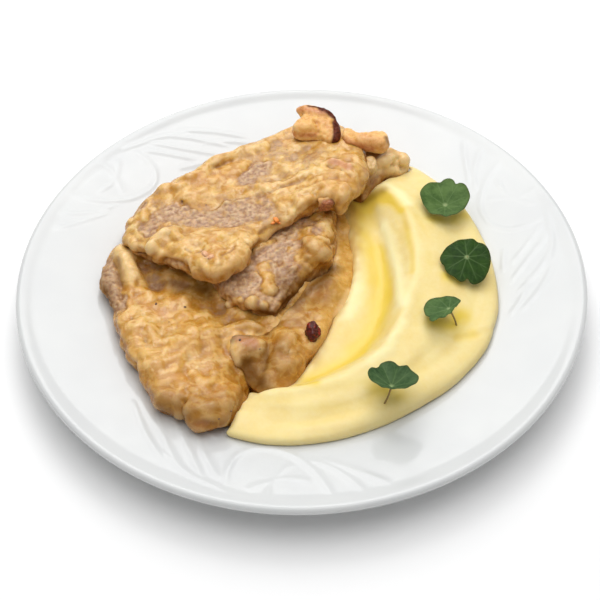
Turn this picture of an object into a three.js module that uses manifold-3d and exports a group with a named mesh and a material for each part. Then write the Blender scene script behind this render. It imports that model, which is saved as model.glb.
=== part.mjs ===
// A dinner plate with sauce-covered pork schnitzels, bacon, potato puree and nasturtium leaves.
// Millimetres, +Z up. The origin is the middle of the plate's foot, where it stands on the table.
// +X is the diner's right and +Y points away from the diner.
import * as THREE from 'three';
import { mergeVertices } from 'three/addons/utils/BufferGeometryUtils.js';
import Module from 'manifold-3d';

const wasm = await Module();
wasm.setup();

// Driving dimensions.
const GAP = 0.3;                    // clearance between pieces that touch
const PLATE_RADIUS = 140;
const PLATE_SEGMENTS = 64;
const WELL_HEIGHT = 6;              // top of the flat middle above the table
const WELL_RADIUS = 74;             // where the floor of the well starts to rise
const RIM_START = 102;              // where the rising wall has become the rim
const RIM_HEIGHT = 13.7;            // rim's top face at RIM_START
const RIM_SLOPE = 0.208;
const PLATE_WALL = 4.5;
const LIP_RADIUS = 2.2;             // round bead along the edge
const LIP_HEIGHT = 21;
const FOOT_RADIUS = 80.5;           // middle of the foot ring
const FOOT_WIDTH = 4;
const FOOT_RECESS = 2;

const SCHNITZEL_THICKNESS = 12;
const LEAF_THICKNESS = 0.7;
const STEM_RADIUS = 0.6;
const STEM_DEPTH = 5;               // how far a stem stands in the puree

const COLORS = {
  porcelain: 0xeef0ee,
  puree: 0xf6e39a,
  sauce: 0xc99a5c,
  schnitzel: 0xc4975f,
  bacon: 0xd9995a,
  ham: 0xc98870,
  onion: 0xe8d2a4,
  berry: 0x5a1712,
  leaf: 0x2f5a36,
};

// Small helpers.
const clamp01 = (t) => Math.min(Math.max(t, 0), 1);
const smoother = (t) => t * t * t * (t * (6 * t - 15) + 10);
const dome = (t) => Math.sqrt(1 - (1 - clamp01(t)) ** 2);

function plateTop(r) {
  const rim = RIM_HEIGHT + (r - RIM_START) * RIM_SLOPE;
  const rise = smoother(clamp01((r - WELL_RADIUS) / (RIM_START - WELL_RADIUS)));
  return WELL_HEIGHT + (rim - WELL_HEIGHT) * rise;
}

// Food lies just above the plate, a little further where its flat facets cross the curved wall.
function restingHeight(x, y) {
  const r = Math.hypot(x, y);
  const bend = clamp01((r - WELL_RADIUS) / 12) * clamp01((RIM_START + 10 - r) / 12);
  return plateTop(r) + GAP + 0.5 * bend;
}

// Each bump is [x, y, radius, height].
function bumps(list, x, y) {
  return list.reduce(
    (sum, [bx, by, radius, height]) =>
      sum + height * Math.exp(-((x - bx) ** 2 + (y - by) ** 2) / radius ** 2),
    0,
  );
}

function toSolid(geometry) {
  const bare = geometry.clone();
  bare.deleteAttribute('normal');
  bare.deleteAttribute('uv');
  const merged = mergeVertices(bare, 1e-4);
  return new wasm.Manifold(new wasm.Mesh({
    numProp: 3,
    vertProperties: new Float32Array(merged.attributes.position.array),
    triVerts: new Uint32Array(merged.index.array),
  }));
}

function toGeometry(solid) {
  const mesh = solid.getMesh();
  const geometry = new THREE.BufferGeometry();
  geometry.setAttribute('position', new THREE.BufferAttribute(new Float32Array(mesh.vertProperties), 3));
  geometry.setIndex(new THREE.BufferAttribute(new Uint32Array(mesh.triVerts), 1));
  return largestBody(geometry);
}

// Keeps the biggest connected body, so that a cut leaves no loose scraps behind.
function largestBody(geometry) {
  const index = geometry.index.array;
  const parent = Array.from({ length: geometry.attributes.position.count }, (_, i) => i);
  const find = (i) => {
    let root = i;
    while (parent[root] !== root) {
      parent[root] = parent[parent[root]];
      root = parent[root];
    }
    return root;
  };
  for (let t = 0; t < index.length; t += 3) {
    parent[find(index[t])] = find(index[t + 1]);
    parent[find(index[t + 2])] = find(index[t + 1]);
  }
  const bodies = new Map();
  for (let t = 0; t < index.length; t += 3) {
    const root = find(index[t]);
    if (!bodies.has(root)) bodies.set(root, []);
    bodies.get(root).push(index[t], index[t + 1], index[t + 2]);
  }
  const biggest = [...bodies.values()].sort((a, b) => b.length - a.length)[0];
  geometry.setIndex(biggest);
  const kept = mergeVertices(geometry, 1e-5);
  kept.computeVertexNormals();
  return kept;
}

const cut = (geometry, cutters) =>
  toGeometry(cutters.reduce((solid, cutter) => solid.subtract(toSolid(cutter)), toSolid(geometry)));

// The plate: one turned profile, from the middle of its underside round the bead to the middle on top.
function plateGeometry() {
  const profile = [];
  const add = (r, z) => profile.push(new THREE.Vector2(r, z));
  const footInner = FOOT_RADIUS - FOOT_WIDTH / 2;
  const footOuter = FOOT_RADIUS + FOOT_WIDTH / 2;
  add(0, FOOT_RECESS);
  add(footInner - 2, FOOT_RECESS);
  add(footInner, 0);
  add(footOuter, 0);
  for (const r of [footOuter + 2, 90, 96, RIM_START, 118, PLATE_RADIUS - 2.5 * LIP_RADIUS]) {
    add(r, plateTop(r) - PLATE_WALL);
  }
  for (const angle of [-75, -35, 5, 50, 90, 130, 165]) {
    const a = THREE.MathUtils.degToRad(angle);
    add(PLATE_RADIUS - LIP_RADIUS * (1 - Math.cos(a)), LIP_HEIGHT + LIP_RADIUS * Math.sin(a));
  }
  for (const r of [134, 118, RIM_START + 3, 98, 94, 90, 86, 81, WELL_RADIUS, 0]) {
    add(r, plateTop(r));
  }
  const geometry = new THREE.LatheGeometry(profile, PLATE_SEGMENTS);
  geometry.rotateX(Math.PI / 2);
  return geometry;
}

function distanceToOutline(x, y, outline) {
  let best = Infinity;
  for (let i = 0; i < outline.length; i += 1) {
    const a = outline[i];
    const b = outline[(i + 1) % outline.length];
    const dx = b.x - a.x;
    const dy = b.y - a.y;
    const t = clamp01(((x - a.x) * dx + (y - a.y) * dy) / (dx * dx + dy * dy));
    best = Math.min(best, Math.hypot(x - a.x - t * dx, y - a.y - t * dy));
  }
  return best;
}

// A soft slab: a closed outline seen from above, a top face, a floor and a rounded edge between them.
// The waist is the height of the widest line, as a share of the slab's thickness at the edge.
// With grow above 0 it is the space that its neighbours leave free. That space goes straight down
// to below the plate's top, unless openBelow is false.
const UPPER_RINGS = [0.965, 0.9, 0.8, 0.62, 0.36];
const LOWER_RINGS = [0.96, 0.84, 0.6, 0.3];
const SMALL_RINGS = [0.88, 0.6];

function slabGeometry(spec, grow = 0, openBelow = grow > 0) {
  const { outline, middle, top, floor, round, steps = 52, heel = 3, waist = 0.4, small = false } = spec;
  const curve = new THREE.CatmullRomCurve3(
    outline.map(([x, y]) => new THREE.Vector3(x, y, 0)), true, 'centripetal');
  let edge = curve.getSpacedPoints(steps).slice(0, steps);
  const isClockwise = THREE.ShapeUtils.area(edge) < 0;
  if (isClockwise) edge.reverse();
  edge = edge.map((point, i) => {
    const ahead = edge[(i + 1) % steps];
    const behind = edge[(i + steps - 1) % steps];
    const normal = new THREE.Vector3(ahead.y - behind.y, behind.x - ahead.x, 0).normalize();
    return point.clone().addScaledVector(normal, grow);
  });
  const [cx, cy] = middle;
  const positions = [];
  const index = [];
  const waistHeight = (x, y) => floor(x, y) + waist * (top(x, y) - floor(x, y));
  const ring = (share, height) => {
    const start = positions.length / 3;
    for (const point of edge) {
      const x = cx + share * (point.x - cx);
      const y = cy + share * (point.y - cy);
      positions.push(x, y, height(x, y));
    }
    return start;
  };
  const upper = (x, y) => {
    const low = waistHeight(x, y);
    return low + (top(x, y) - low) * dome(distanceToOutline(x, y, edge) / round) + grow;
  };
  const lower = (x, y) => {
    if (openBelow) return -WELL_HEIGHT;
    const high = waistHeight(x, y);
    return high - (high - floor(x, y)) * dome(distanceToOutline(x, y, edge) / heel) - grow;
  };
  const stitch = (a, b) => {
    for (let i = 0; i < steps; i += 1) {
      const j = (i + 1) % steps;
      index.push(a + i, a + j, b + j, a + i, b + j, b + i);
    }
  };
  const fan = (a, height, flip) => {
    const tip = positions.length / 3;
    positions.push(cx, cy, height(cx, cy));
    for (let i = 0; i < steps; i += 1) {
      const j = (i + 1) % steps;
      if (flip) index.push(a + j, a + i, tip);
      else index.push(a + i, a + j, tip);
    }
  };
  const rim = ring(1, (x, y) => waistHeight(x, y) + grow);
  let last = rim;
  for (const share of small ? SMALL_RINGS : UPPER_RINGS) {
    const next = ring(share, upper);
    stitch(last, next);
    last = next;
  }
  fan(last, upper, false);
  last = rim;
  let lowerRings = small ? SMALL_RINGS : LOWER_RINGS;
  if (openBelow) lowerRings = [1];
  for (const share of lowerRings) {
    const next = ring(share, lower);
    stitch(next, last);
    last = next;
  }
  fan(last, lower, true);
  const geometry = new THREE.BufferGeometry();
  geometry.setAttribute('position', new THREE.Float32BufferAttribute(positions, 3));
  geometry.setIndex(index);
  geometry.computeVertexNormals();
  return geometry;
}

// The lower schnitzel lies in the well, up against its wall, with sauce lobes towards the diner.
const lowerSchnitzel = {
  outline: [
    [-86, 26], [-94.5, 17], [-98.5, 7], [-99, -7], [-92, -24], [-85.5, -43], [-80.5, -57], [-75, -63],
    [-73, -71], [-68, -80], [-60.5, -85], [-54.5, -87.5], [-49.5, -93.5], [-42.5, -96.5], [-35.5, -94.5],
    [-31, -85], [-26, -74], [-24, -56], [-8, -36], [6, -10], [8, 24], [-8, 54], [-38, 62], [-70, 46],
  ],
  steps: 58,
  middle: [-46, -14],
  top: (x, y) => 20.5 - 0.02 * (x + 46) + 6 * clamp01((Math.hypot(x, y) - 84) / 20) + bumps([
    [-62, -62, 16, 2.6],
    [-42, -80, 11, 2.2],
    [-74, -34, 14, 1.6],
    [-44, -46, 12, 2.4],
    [-86, 12, 9, 1.6],
  ], x, y),
  floor: restingHeight,
  round: 11,
  waist: 0.42,
};

// The middle schnitzel lies on the lower one and slopes down to the plate at its right-hand side.
const middleSchnitzel = {
  outline: [
    [-46, -10], [-34, -25], [-21, -32], [-12, -33], [-4, -20], [5, -8], [14, 0], [18, 12], [19, 26],
    [20, 42], [22, 58], [14, 76], [-4, 80], [-30, 66], [-56, 50], [-70, 28], [-58, 6],
  ],
  middle: [-16, 18],
  top: (x, y) => 28.5 + 0.03 * (x - y) + bumps([
    [11, 6, 8, 1.8],
    [-12, -30, 8, -1.5],
  ], x, y),
  floor: (x, y) => Math.max(restingHeight(x, y), 15 - 0.12 * (x + 40)),
  round: 7,
};

// The rear end of another schnitzel, which shows at the right beside the puree.
const endSchnitzel = {
  outline: [
    [33, 51], [37, 53.5], [40.5, 56], [44, 61], [48, 64.5], [53.5, 68], [59, 70.5], [61, 74.5], [57, 78.5],
    [50, 82], [36, 85], [24, 76], [26, 58],
  ],
  steps: 28,
  middle: [42, 67],
  top: (x, y) => 27.5 + bumps([[54, 73, 5, 1.2], [44, 66, 6, 1]], x, y),
  floor: restingHeight,
  round: 7,
};

// The upper schnitzel: a long slice across the pile, lowest at its left-hand tip.
const upperTop = (x, y) => 38 + 0.06 * x - 0.04 * (y - 20);
const upperSchnitzel = {
  outline: [
    [-89, 17], [-87, 29], [-76, 45], [-61, 59], [-47, 71], [-20, 85], [-2, 96], [14, 98], [27, 89],
    [35, 77], [36, 63], [35, 51], [31, 42], [22, 32], [8, 28], [-5, 22], [-19, 12], [-25, -3], [-38, -18],
    [-50, -12], [-62, -5], [-74, 2], [-84, 7],
  ],
  steps: 60,
  middle: [-22, 38],
  top: (x, y) => upperTop(x, y) + bumps([
    [-40, -10, 12, 2.2],
    [-64, -2, 9, 1.2],
    [-30, 22, 16, -1.6],
    [6, 34, 10, 1.4],
    [-60, 40, 12, 1.2],
    [14, 56, 14, 1.6],
  ], x, y),
  floor: (x, y) => Math.max(restingHeight(x, y), upperTop(x, y) - SCHNITZEL_THICKNESS),
  round: 7,
  waist: 0.45,
};

// Thick sauce with lumps, between the schnitzels and the puree. It thins to a film at the far right.
const saucePool = {
  outline: [
    [21, 44], [25, 28], [27, 8], [25, -9], [19, -21], [13, -31], [8, -44], [1, -56], [-5, -66],
    [-14, -73], [-25, -69], [-34, -52], [-40, -28], [-22, -4], [2, 16],
  ],
  middle: [-4, -22],
  top: (x, y) => 18.5 - 3 * clamp01((x - 8) / 12) * clamp01((y + 26) / 20) + bumps([
    [-8, -54, 9, 5.5],
    [-27, -54, 10, 5],
    [10, -34, 7, 1.5],
  ], x, y),
  floor: restingHeight,
  round: 5,
  waist: 0.75,
};

const baconSlice = {
  outline: [
    [-1, 78], [-2.5, 83], [-0.5, 87], [2.5, 90], [2, 93], [0, 97], [7, 98], [13, 96.5], [17.5, 94], [20.5, 89],
    [22, 84], [23, 79], [22, 73.5], [18, 72.5], [12, 76], [5, 77],
  ],
  steps: 32,
  small: true,
  middle: [11, 86],
  top: (x, y) => 41 + 0.2 * (y - 78) + bumps([[0, 83, 6, 1.2], [8, 84, 5, 0.8]], x, y),
  floor: (x, y) => 34.5 + 0.2 * (y - 78),
  round: 3,
  heel: 2,
};

const baconBar = {
  outline: [
    [24, 72.5], [23.5, 79], [24.5, 84], [28, 84], [31.5, 79.5], [38, 78.5], [46, 79], [48.5, 73], [46, 67.5],
    [39, 68], [31, 70],
  ],
  steps: 26,
  small: true,
  middle: [35, 75],
  top: (x, y) => 40.2 + 0.1 * (x - 26),
  floor: (x, y) => 34.5 - 0.08 * (x - 26),
  round: 2.5,
  heel: 2,
};

const hamCube = {
  outline: [[9.5, 25.5], [9.8, 33], [17.5, 34], [18.6, 29], [17, 25], [13, 24.6]],
  steps: 16,
  small: true,
  middle: [14, 29],
  top: (x, y) => 39.8,
  floor: (x, y) => 34,
  round: 1.6,
  heel: 1,
};

// A pale piece of onion, standing between the upper schnitzel and the rear end.
const onionPiece = {
  outline: [[35, 57.5], [38, 56], [41, 58.5], [41.8, 64], [40, 67], [35, 67]],
  steps: 14,
  small: true,
  middle: [38.6, 61.5],
  top: (x, y) => 34.4,
  floor: (x, y) => 28,
  round: 1.6,
  heel: 1.5,
};

// The puree is a crescent swept round the plate's middle. Each station gives, at an angle in
// degrees, the radius and height of the hidden inner foot, of the hollow and of the crest, and
// the radius of the outer side. With a skew the inner foot lies that many degrees further round.
const PUREE_STATIONS = [
  { angle: -114, skew: 0, inner: [74, 12], hollow: [84, 13], crest: [91, 14.5], outer: 101.5 },
  { angle: -102, skew: 0, inner: [58, 13], hollow: [71, 15], crest: [78.5, 19.5], outer: 102.5 },
  { angle: -84, skew: 0, inner: [40, 13], hollow: [63, 14], crest: [75, 22], outer: 100.5 },
  { angle: -60, skew: 0, inner: [20, 14], hollow: [54, 14], crest: [70, 24.5], outer: 97.5 },
  { angle: -30, skew: 0, inner: [14, 15], hollow: [43, 15], crest: [59.5, 25.5], outer: 100 },
  { angle: 0, skew: 0, inner: [14, 15], hollow: [39, 15], crest: [58.5, 26], outer: 96.5 },
  { angle: 28, skew: 0, inner: [16, 15], hollow: [43, 15.5], crest: [63.5, 26], outer: 97 },
  { angle: 46, skew: 3, inner: [16, 14], hollow: [54, 16], crest: [68.5, 23.5], outer: 98.8 },
  { angle: 58, skew: 14, inner: [24, 13], hollow: [58, 15], crest: [70, 19.5], outer: 98.5 },
];
const PUREE_SLICES = 36;
const PUREE_ROUND = 12;             // width of the rounded outer side
const PUREE_WAIST = 3.5;            // height above the plate of the puree's widest line

function pureeStation(t) {
  const pick = (read) => {
    const curve = new THREE.SplineCurve(PUREE_STATIONS.map((row, i) => new THREE.Vector2(i, read(row))));
    return curve.getPoint(t).y;
  };
  return {
    angle: THREE.MathUtils.degToRad(pick((row) => row.angle)),
    skew: THREE.MathUtils.degToRad(pick((row) => row.skew)),
    inner: [pick((row) => row.inner[0]), pick((row) => row.inner[1])],
    hollow: [pick((row) => row.hollow[0]), pick((row) => row.hollow[1])],
    crest: [pick((row) => row.crest[0]), pick((row) => row.crest[1])],
    outer: pick((row) => row.outer),
  };
}

function pureeGeometry() {
  const positions = [];
  const index = [];
  const section = (t) => {
    const { angle, skew, inner, hollow, crest, outer } = pureeStation(t);
    const shoulder = Math.max(outer - PUREE_ROUND, crest[0] + 2);
    const foot = plateTop(outer) + GAP + PUREE_WAIST;
    const drop = 0.22 * (shoulder - crest[0]);
    const points = [];
    for (const s of [0, 0.25, 0.5, 0.75]) {
      points.push([
        THREE.MathUtils.lerp(inner[0], hollow[0], s),
        THREE.MathUtils.lerp(inner[1], hollow[1], smoother(s)),
      ]);
    }
    for (const s of [0, 0.25, 0.5, 0.75, 1]) {
      points.push([
        THREE.MathUtils.lerp(hollow[0], crest[0], s),
        THREE.MathUtils.lerp(hollow[1], crest[1], smoother(s)),
      ]);
    }
    points.push([(crest[0] + shoulder) / 2, crest[1] - 0.3 * drop]);
    const shoulderHeight = Math.max(crest[1] - drop, foot + 0.5);
    for (const s of [0, 0.35, 0.65, 0.88, 1]) {
      points.push([
        THREE.MathUtils.lerp(shoulder, outer, s),
        THREE.MathUtils.lerp(foot, shoulderHeight, Math.sqrt(1 - s * s)),
      ]);
    }
    const outerFoot = outer - 1.2;
    for (const s of [1, 0.85, 0.7, 0.5, 0.25, 0]) {
      const r = THREE.MathUtils.lerp(inner[0] + 0.8, outerFoot, s);
      points.push([r, restingHeight(r, 0)]);
    }
    return points.map(([r, z]) => {
      const turned = angle + (skew * (outer - r)) / (outer - inner[0]);
      return [r * Math.cos(turned), r * Math.sin(turned), z];
    });
  };
  let count = 0;
  for (let k = 0; k <= PUREE_SLICES; k += 1) {
    const points = section(k / PUREE_SLICES);
    count = points.length;
    positions.push(...points.flat());
  }
  for (let k = 0; k < PUREE_SLICES; k += 1) {
    for (let i = 0; i < count; i += 1) {
      const j = (i + 1) % count;
      const a = k * count;
      const b = a + count;
      index.push(a + i, b + j, b + i, a + i, a + j, b + j);
    }
  }
  const cap = (slice, flip) => {
    const first = slice * count;
    const tip = positions.length / 3;
    const middle = [0, 1, 2].map((axis) => {
      let sum = 0;
      for (let i = 0; i < count; i += 1) sum += positions[3 * (first + i) + axis];
      return sum / count;
    });
    positions.push(...middle);
    for (let i = 0; i < count; i += 1) {
      const j = (i + 1) % count;
      if (flip) index.push(first + j, first + i, tip);
      else index.push(first + i, first + j, tip);
    }
  };
  cap(0, true);
  cap(PUREE_SLICES, false);
  const geometry = new THREE.BufferGeometry();
  geometry.setAttribute('position', new THREE.Float32BufferAttribute(positions, 3));
  geometry.setIndex(index);
  geometry.computeVertexNormals();
  return geometry;
}

// Nasturtium leaves. joint is where the stem meets the blade and foot is where it enters the puree.
// edge is the blade's outline round the joint, seen square on. tilt turns the blade about X and then
// Y, in degrees, and cup is the rise from the joint to the edge over the radius.
const LEAVES = [
  {
    radius: 12.3,
    joint: [74.5, 34, 27.5],
    foot: [75, 35, 23.2],
    tilt: [0, 0],
    cup: 0.2,
    edge: [
      [-11.8, 1.2], [-10.5, -2.9], [-8.7, -6.3], [-5.9, -8.5], [-3, -9.3], [-0.9, -10.8], [1.2, -10.4],
      [4.4, -8.6], [7.8, -5.8], [10.1, -2.9], [12, 0.5], [13, 4.4], [12.4, 8.8], [11.1, 12.9], [9, 14.4],
      [6.9, 13.9], [5.9, 16.7], [3.7, 18.1], [1.1, 17.5], [-0.9, 15.8], [-3.2, 15.9], [-6.4, 15.2],
      [-9.3, 12.7], [-11.4, 9.8], [-12.5, 6],
    ],
  },
  {
    radius: 12.4,
    joint: [81, -4.4, 29.7],
    foot: [82, -2, 22],
    tilt: [15, 0],
    cup: -0.12,
    edge: [
      [-12.5, -1.9], [-11.2, -3.6], [-10.7, -6.1], [-9.3, -8.7], [-6.5, -10.7], [-4.3, -12.7],
      [-2.3, -12.6], [-0.5, -11.4], [0.6, -13.3], [2.2, -14.2], [5, -13.3], [7.6, -11.5], [9.5, -8.4],
      [10.9, -5.2], [11.7, -1.5], [11.7, 2.2], [10.8, 5.7], [8.9, 8.4], [6.3, 9.4], [4.3, 11], [1.2, 11],
      [-2.3, 10.3], [-5.9, 8.7], [-9, 6.6], [-11.5, 3.6], [-12.8, 1],
    ],
  },
  {
    radius: 8.4,
    joint: [68.8, -38.6, 31],
    foot: [72.6, -40.1, 20.8],
    tilt: [-10, -12],
    cup: 0.1,
    edge: [
      [-11.8, 0.3], [-11.1, -3.4], [-9.7, -4.9], [-9.6, -7.2], [-8.5, -8.4], [-6.9, -7.8], [-5.4, -6.5],
      [-3.6, -6.3], [-2.2, -6.2], [-0.8, -4.5], [0.8, -3.8], [1.9, -2.5], [3.2, -0.4], [4.8, 2.1],
      [5.8, 4.3], [4.2, 5.9], [2.1, 7.4], [-0.3, 8], [-2.7, 8.2], [-5.3, 9], [-8.2, 8.5], [-10.5, 6.5],
      [-11.6, 3.6],
    ],
  },
  {
    radius: 11.7,
    joint: [38.7, -82.6, 30],
    foot: [35.2, -84.6, 19.4],
    tilt: [-13, 0],
    cup: 0.42,
    edge: [
      [-10.4, 3.5], [-10, 0.3], [-8.4, -2.2], [-6.1, -4.1], [-3.2, -5.8], [0, -7.4], [3.4, -7.9],
      [6.5, -6.7], [9.4, -4.2], [11.3, -1.6], [12, 1], [10.6, 3.5], [8.8, 5.8], [7.5, 7.8], [5.8, 7.8],
      [3.9, 8.2], [2.3, 10.7], [0.4, 12.1], [-2, 12.4], [-4.1, 11.3], [-5.2, 8.8], [-6.4, 7.7],
      [-8.2, 8.2], [-9.6, 6.8],
    ],
  },
];
const LEAF_RINGS = [0.5, 1];

function stemGeometry({ joint, foot }, radius) {
  const top = new THREE.Vector3(...joint);
  const base = new THREE.Vector3(...foot);
  const down = base.clone().sub(top).normalize();
  base.addScaledVector(down, STEM_DEPTH + (radius > STEM_RADIUS ? GAP : 0));
  const bend = top.clone().lerp(base, 0.5);
  bend.x += 0.25;
  const section = new THREE.Shape();
  section.absarc(0, 0, radius, 0, 2 * Math.PI);
  return new THREE.ExtrudeGeometry(section, {
    steps: 4,
    curveSegments: 4,
    bevelEnabled: false,
    extrudePath: new THREE.CatmullRomCurve3([top, bend, base]),
  });
}

function bladeGeometry({ radius, joint, tilt, cup, edge }, phase) {
  const steps = edge.length;
  const positions = [];
  const index = [];
  const place = new THREE.Matrix4()
    .makeTranslation(...joint)
    .multiply(new THREE.Matrix4().makeRotationY(THREE.MathUtils.degToRad(tilt[1])))
    .multiply(new THREE.Matrix4().makeRotationX(THREE.MathUtils.degToRad(tilt[0])));
  const surface = (share, [x, y]) => {
    const wave = Math.sin(3 * Math.atan2(y, x) + phase);
    return [share * x, share * y, radius * (cup * share + 0.05 * share ** 2 * wave)];
  };
  const face = (offset) => {
    const start = positions.length / 3;
    const add = (x, y, z) => {
      const point = new THREE.Vector3(x, y, z + offset).applyMatrix4(place);
      positions.push(point.x, point.y, point.z);
    };
    add(0, 0, 0);
    for (const share of LEAF_RINGS) {
      for (const point of edge) add(...surface(share, point));
    }
    return start;
  };
  const faces = [face(LEAF_THICKNESS / 2), face(-LEAF_THICKNESS / 2)];
  faces.forEach((start, side) => {
    const push = (a, b, c) => (side === 0 ? index.push(a, b, c) : index.push(a, c, b));
    for (let i = 0; i < steps; i += 1) {
      const j = (i + 1) % steps;
      push(start, start + 1 + i, start + 1 + j);
      for (let ring = 0; ring < LEAF_RINGS.length - 1; ring += 1) {
        const a = start + 1 + ring * steps;
        const b = a + steps;
        push(a + i, b + i, b + j);
        push(a + i, b + j, a + j);
      }
    }
  });
  const outer = 1 + (LEAF_RINGS.length - 1) * steps;
  for (let i = 0; i < steps; i += 1) {
    const j = (i + 1) % steps;
    const [a, b] = [faces[1] + outer, faces[0] + outer];
    index.push(a + i, a + j, b + j, a + i, b + j, b + i);
  }
  const geometry = new THREE.BufferGeometry();
  geometry.setAttribute('position', new THREE.Float32BufferAttribute(positions, 3));
  geometry.setIndex(index);
  return geometry;
}

const leafGeometry = (leaf, phase) =>
  toGeometry(toSolid(bladeGeometry(leaf, phase)).add(toSolid(stemGeometry(leaf, STEM_RADIUS))));

// A dark dried berry half sunk in the sauce.
const BERRY = { at: [4.8, -42.5, 21.5], size: [3.3, 5.2, 3.3], detail: 2 };

function berryGeometry(grow = 0) {
  const geometry = new THREE.IcosahedronGeometry(1, BERRY.detail);
  geometry.scale(...BERRY.size.map((half) => half + grow));
  geometry.translate(...BERRY.at);
  return geometry;
}

// Assembly: each piece is cut by the free space round what lies under it or beside it.
const free = (spec) => slabGeometry(spec, GAP);
const freeAbove = (spec) => slabGeometry(spec, GAP, false);
const stemSockets = LEAVES.map((leaf) => stemGeometry(leaf, STEM_RADIUS + GAP));
const group = new THREE.Group();

function addMesh(name, geometry, color, roughness) {
  const mesh = new THREE.Mesh(geometry, new THREE.MeshStandardMaterial({ color, roughness, metalness: 0 }));
  mesh.name = name;
  group.add(mesh);
}

addMesh('plate', plateGeometry(), COLORS.porcelain, 0.15);
addMesh('schnitzel_lower', slabGeometry(lowerSchnitzel), COLORS.schnitzel, 0.5);
addMesh('schnitzel_end', cut(slabGeometry(endSchnitzel), [free(middleSchnitzel)]), COLORS.schnitzel, 0.5);
addMesh('schnitzel_middle', cut(slabGeometry(middleSchnitzel), [free(lowerSchnitzel)]), COLORS.schnitzel, 0.5);
addMesh(
  'schnitzel_upper',
  cut(slabGeometry(upperSchnitzel), [free(lowerSchnitzel), free(middleSchnitzel), free(endSchnitzel)]),
  COLORS.schnitzel,
  0.5,
);
addMesh(
  'sauce',
  cut(slabGeometry(saucePool), [
    free(lowerSchnitzel), free(middleSchnitzel), free(endSchnitzel), freeAbove(upperSchnitzel),
    berryGeometry(GAP),
  ]),
  COLORS.sauce,
  0.4,
);
addMesh(
  'puree',
  cut(pureeGeometry(), [
    free(saucePool), free(lowerSchnitzel), free(middleSchnitzel), free(endSchnitzel),
    freeAbove(upperSchnitzel), berryGeometry(GAP), ...stemSockets,
  ]),
  COLORS.puree,
  0.5,
);
addMesh('bacon_slice', cut(slabGeometry(baconSlice), [free(upperSchnitzel)]), COLORS.bacon, 0.45);
addMesh(
  'bacon_bar',
  cut(slabGeometry(baconBar), [free(upperSchnitzel), free(endSchnitzel), free(baconSlice)]),
  COLORS.bacon,
  0.45,
);
addMesh('ham_cube', cut(slabGeometry(hamCube), [freeAbove(upperSchnitzel)]), COLORS.ham, 0.45);
addMesh(
  'onion_piece',
  cut(slabGeometry(onionPiece), [free(upperSchnitzel), free(endSchnitzel), freeAbove(baconBar)]),
  COLORS.onion,
  0.35,
);
addMesh('red_berry', berryGeometry(), COLORS.berry, 0.3);
LEAVES.forEach((leaf, i) => addMesh(`leaf_${i + 1}`, leafGeometry(leaf, 1.7 * i), COLORS.leaf, 0.55));

export default group;
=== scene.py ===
"""A plate of hunter's schnitzel: pork slices in thick sauce, bacon, potato puree and nasturtium leaves.

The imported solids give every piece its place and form. Each piece is remeshed finely, gets its relief
in the mesh and stands for its solid. Blender's unit is the metre; the sizes below are millimetres.
"""
import math
from collections import namedtuple

import bmesh
import bpy
import numpy as np
from mathutils import Matrix, Vector
from mathutils.bvhtree import BVHTree


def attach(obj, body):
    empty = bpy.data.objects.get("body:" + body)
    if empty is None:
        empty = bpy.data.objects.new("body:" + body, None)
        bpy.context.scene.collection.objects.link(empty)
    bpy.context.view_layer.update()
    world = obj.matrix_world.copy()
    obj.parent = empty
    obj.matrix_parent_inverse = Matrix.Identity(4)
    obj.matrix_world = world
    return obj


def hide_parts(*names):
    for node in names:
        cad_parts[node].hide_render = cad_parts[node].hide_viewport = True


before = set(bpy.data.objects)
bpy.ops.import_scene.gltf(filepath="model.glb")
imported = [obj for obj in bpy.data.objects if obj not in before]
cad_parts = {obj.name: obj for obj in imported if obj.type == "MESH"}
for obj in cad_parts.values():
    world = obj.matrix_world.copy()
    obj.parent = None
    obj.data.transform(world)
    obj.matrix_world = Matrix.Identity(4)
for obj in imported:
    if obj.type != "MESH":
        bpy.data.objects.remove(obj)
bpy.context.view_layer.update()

MM = 0.001
BODY = "root"

# The photo's camera: elevation and roll in degrees, distance and target in millimetres.
PHOTO_SIDE = 600
FOCAL_PIXELS = 1159.5
CAMERA_ELEVATION = 48.51
CAMERA_ROLL = -1.446
CAMERA_DISTANCE = 560
CAMERA_TARGET = (-0.79, -21.93, 21)
SENSOR_WIDTH = 36


# ---------------------------------------------------------------- camera

def camera_axes():
    """The camera's right, up and backward directions."""
    elevation = math.radians(CAMERA_ELEVATION)
    roll = math.radians(CAMERA_ROLL)
    right = np.array([1.0, 0.0, 0.0])
    up = np.array([0.0, math.sin(elevation), math.cos(elevation)])
    back = np.array([0.0, -math.cos(elevation), math.sin(elevation)])
    rolled_right = math.cos(roll) * right + math.sin(roll) * up
    rolled_up = math.cos(roll) * up - math.sin(roll) * right
    return rolled_right, rolled_up, back


RIGHT, UP, BACK = camera_axes()
CAMERA_PLACE = np.array(CAMERA_TARGET) + CAMERA_DISTANCE * BACK


def add_object(name, data):
    made = bpy.data.objects.new(name, data)
    bpy.context.scene.collection.objects.link(made)
    return made


def make_camera():
    data = bpy.data.cameras.new("photo_camera")
    data.sensor_width = SENSOR_WIDTH
    data.lens = FOCAL_PIXELS * SENSOR_WIDTH / PHOTO_SIDE
    data.clip_start = 0.01
    data.clip_end = 20
    camera = add_object("photo_camera", data)
    place = Matrix((RIGHT, UP, BACK)).transposed().to_4x4()
    place.translation = Vector(CAMERA_PLACE * MM)
    camera.matrix_world = place
    bpy.context.scene.camera = camera


def pixel_direction(pixel):
    across = (pixel[0] - PHOTO_SIDE / 2) / FOCAL_PIXELS
    down = (pixel[1] - PHOTO_SIDE / 2) / FOCAL_PIXELS
    direction = RIGHT * across - UP * down - BACK
    return direction / np.linalg.norm(direction)


def on_level(pixel, height):
    """Where the photo's pixel lies at that height above the table."""
    direction = pixel_direction(pixel)
    return CAMERA_PLACE + direction * (height - CAMERA_PLACE[2]) / direction[2]


# ---------------------------------------------------------------- numbers

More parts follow.
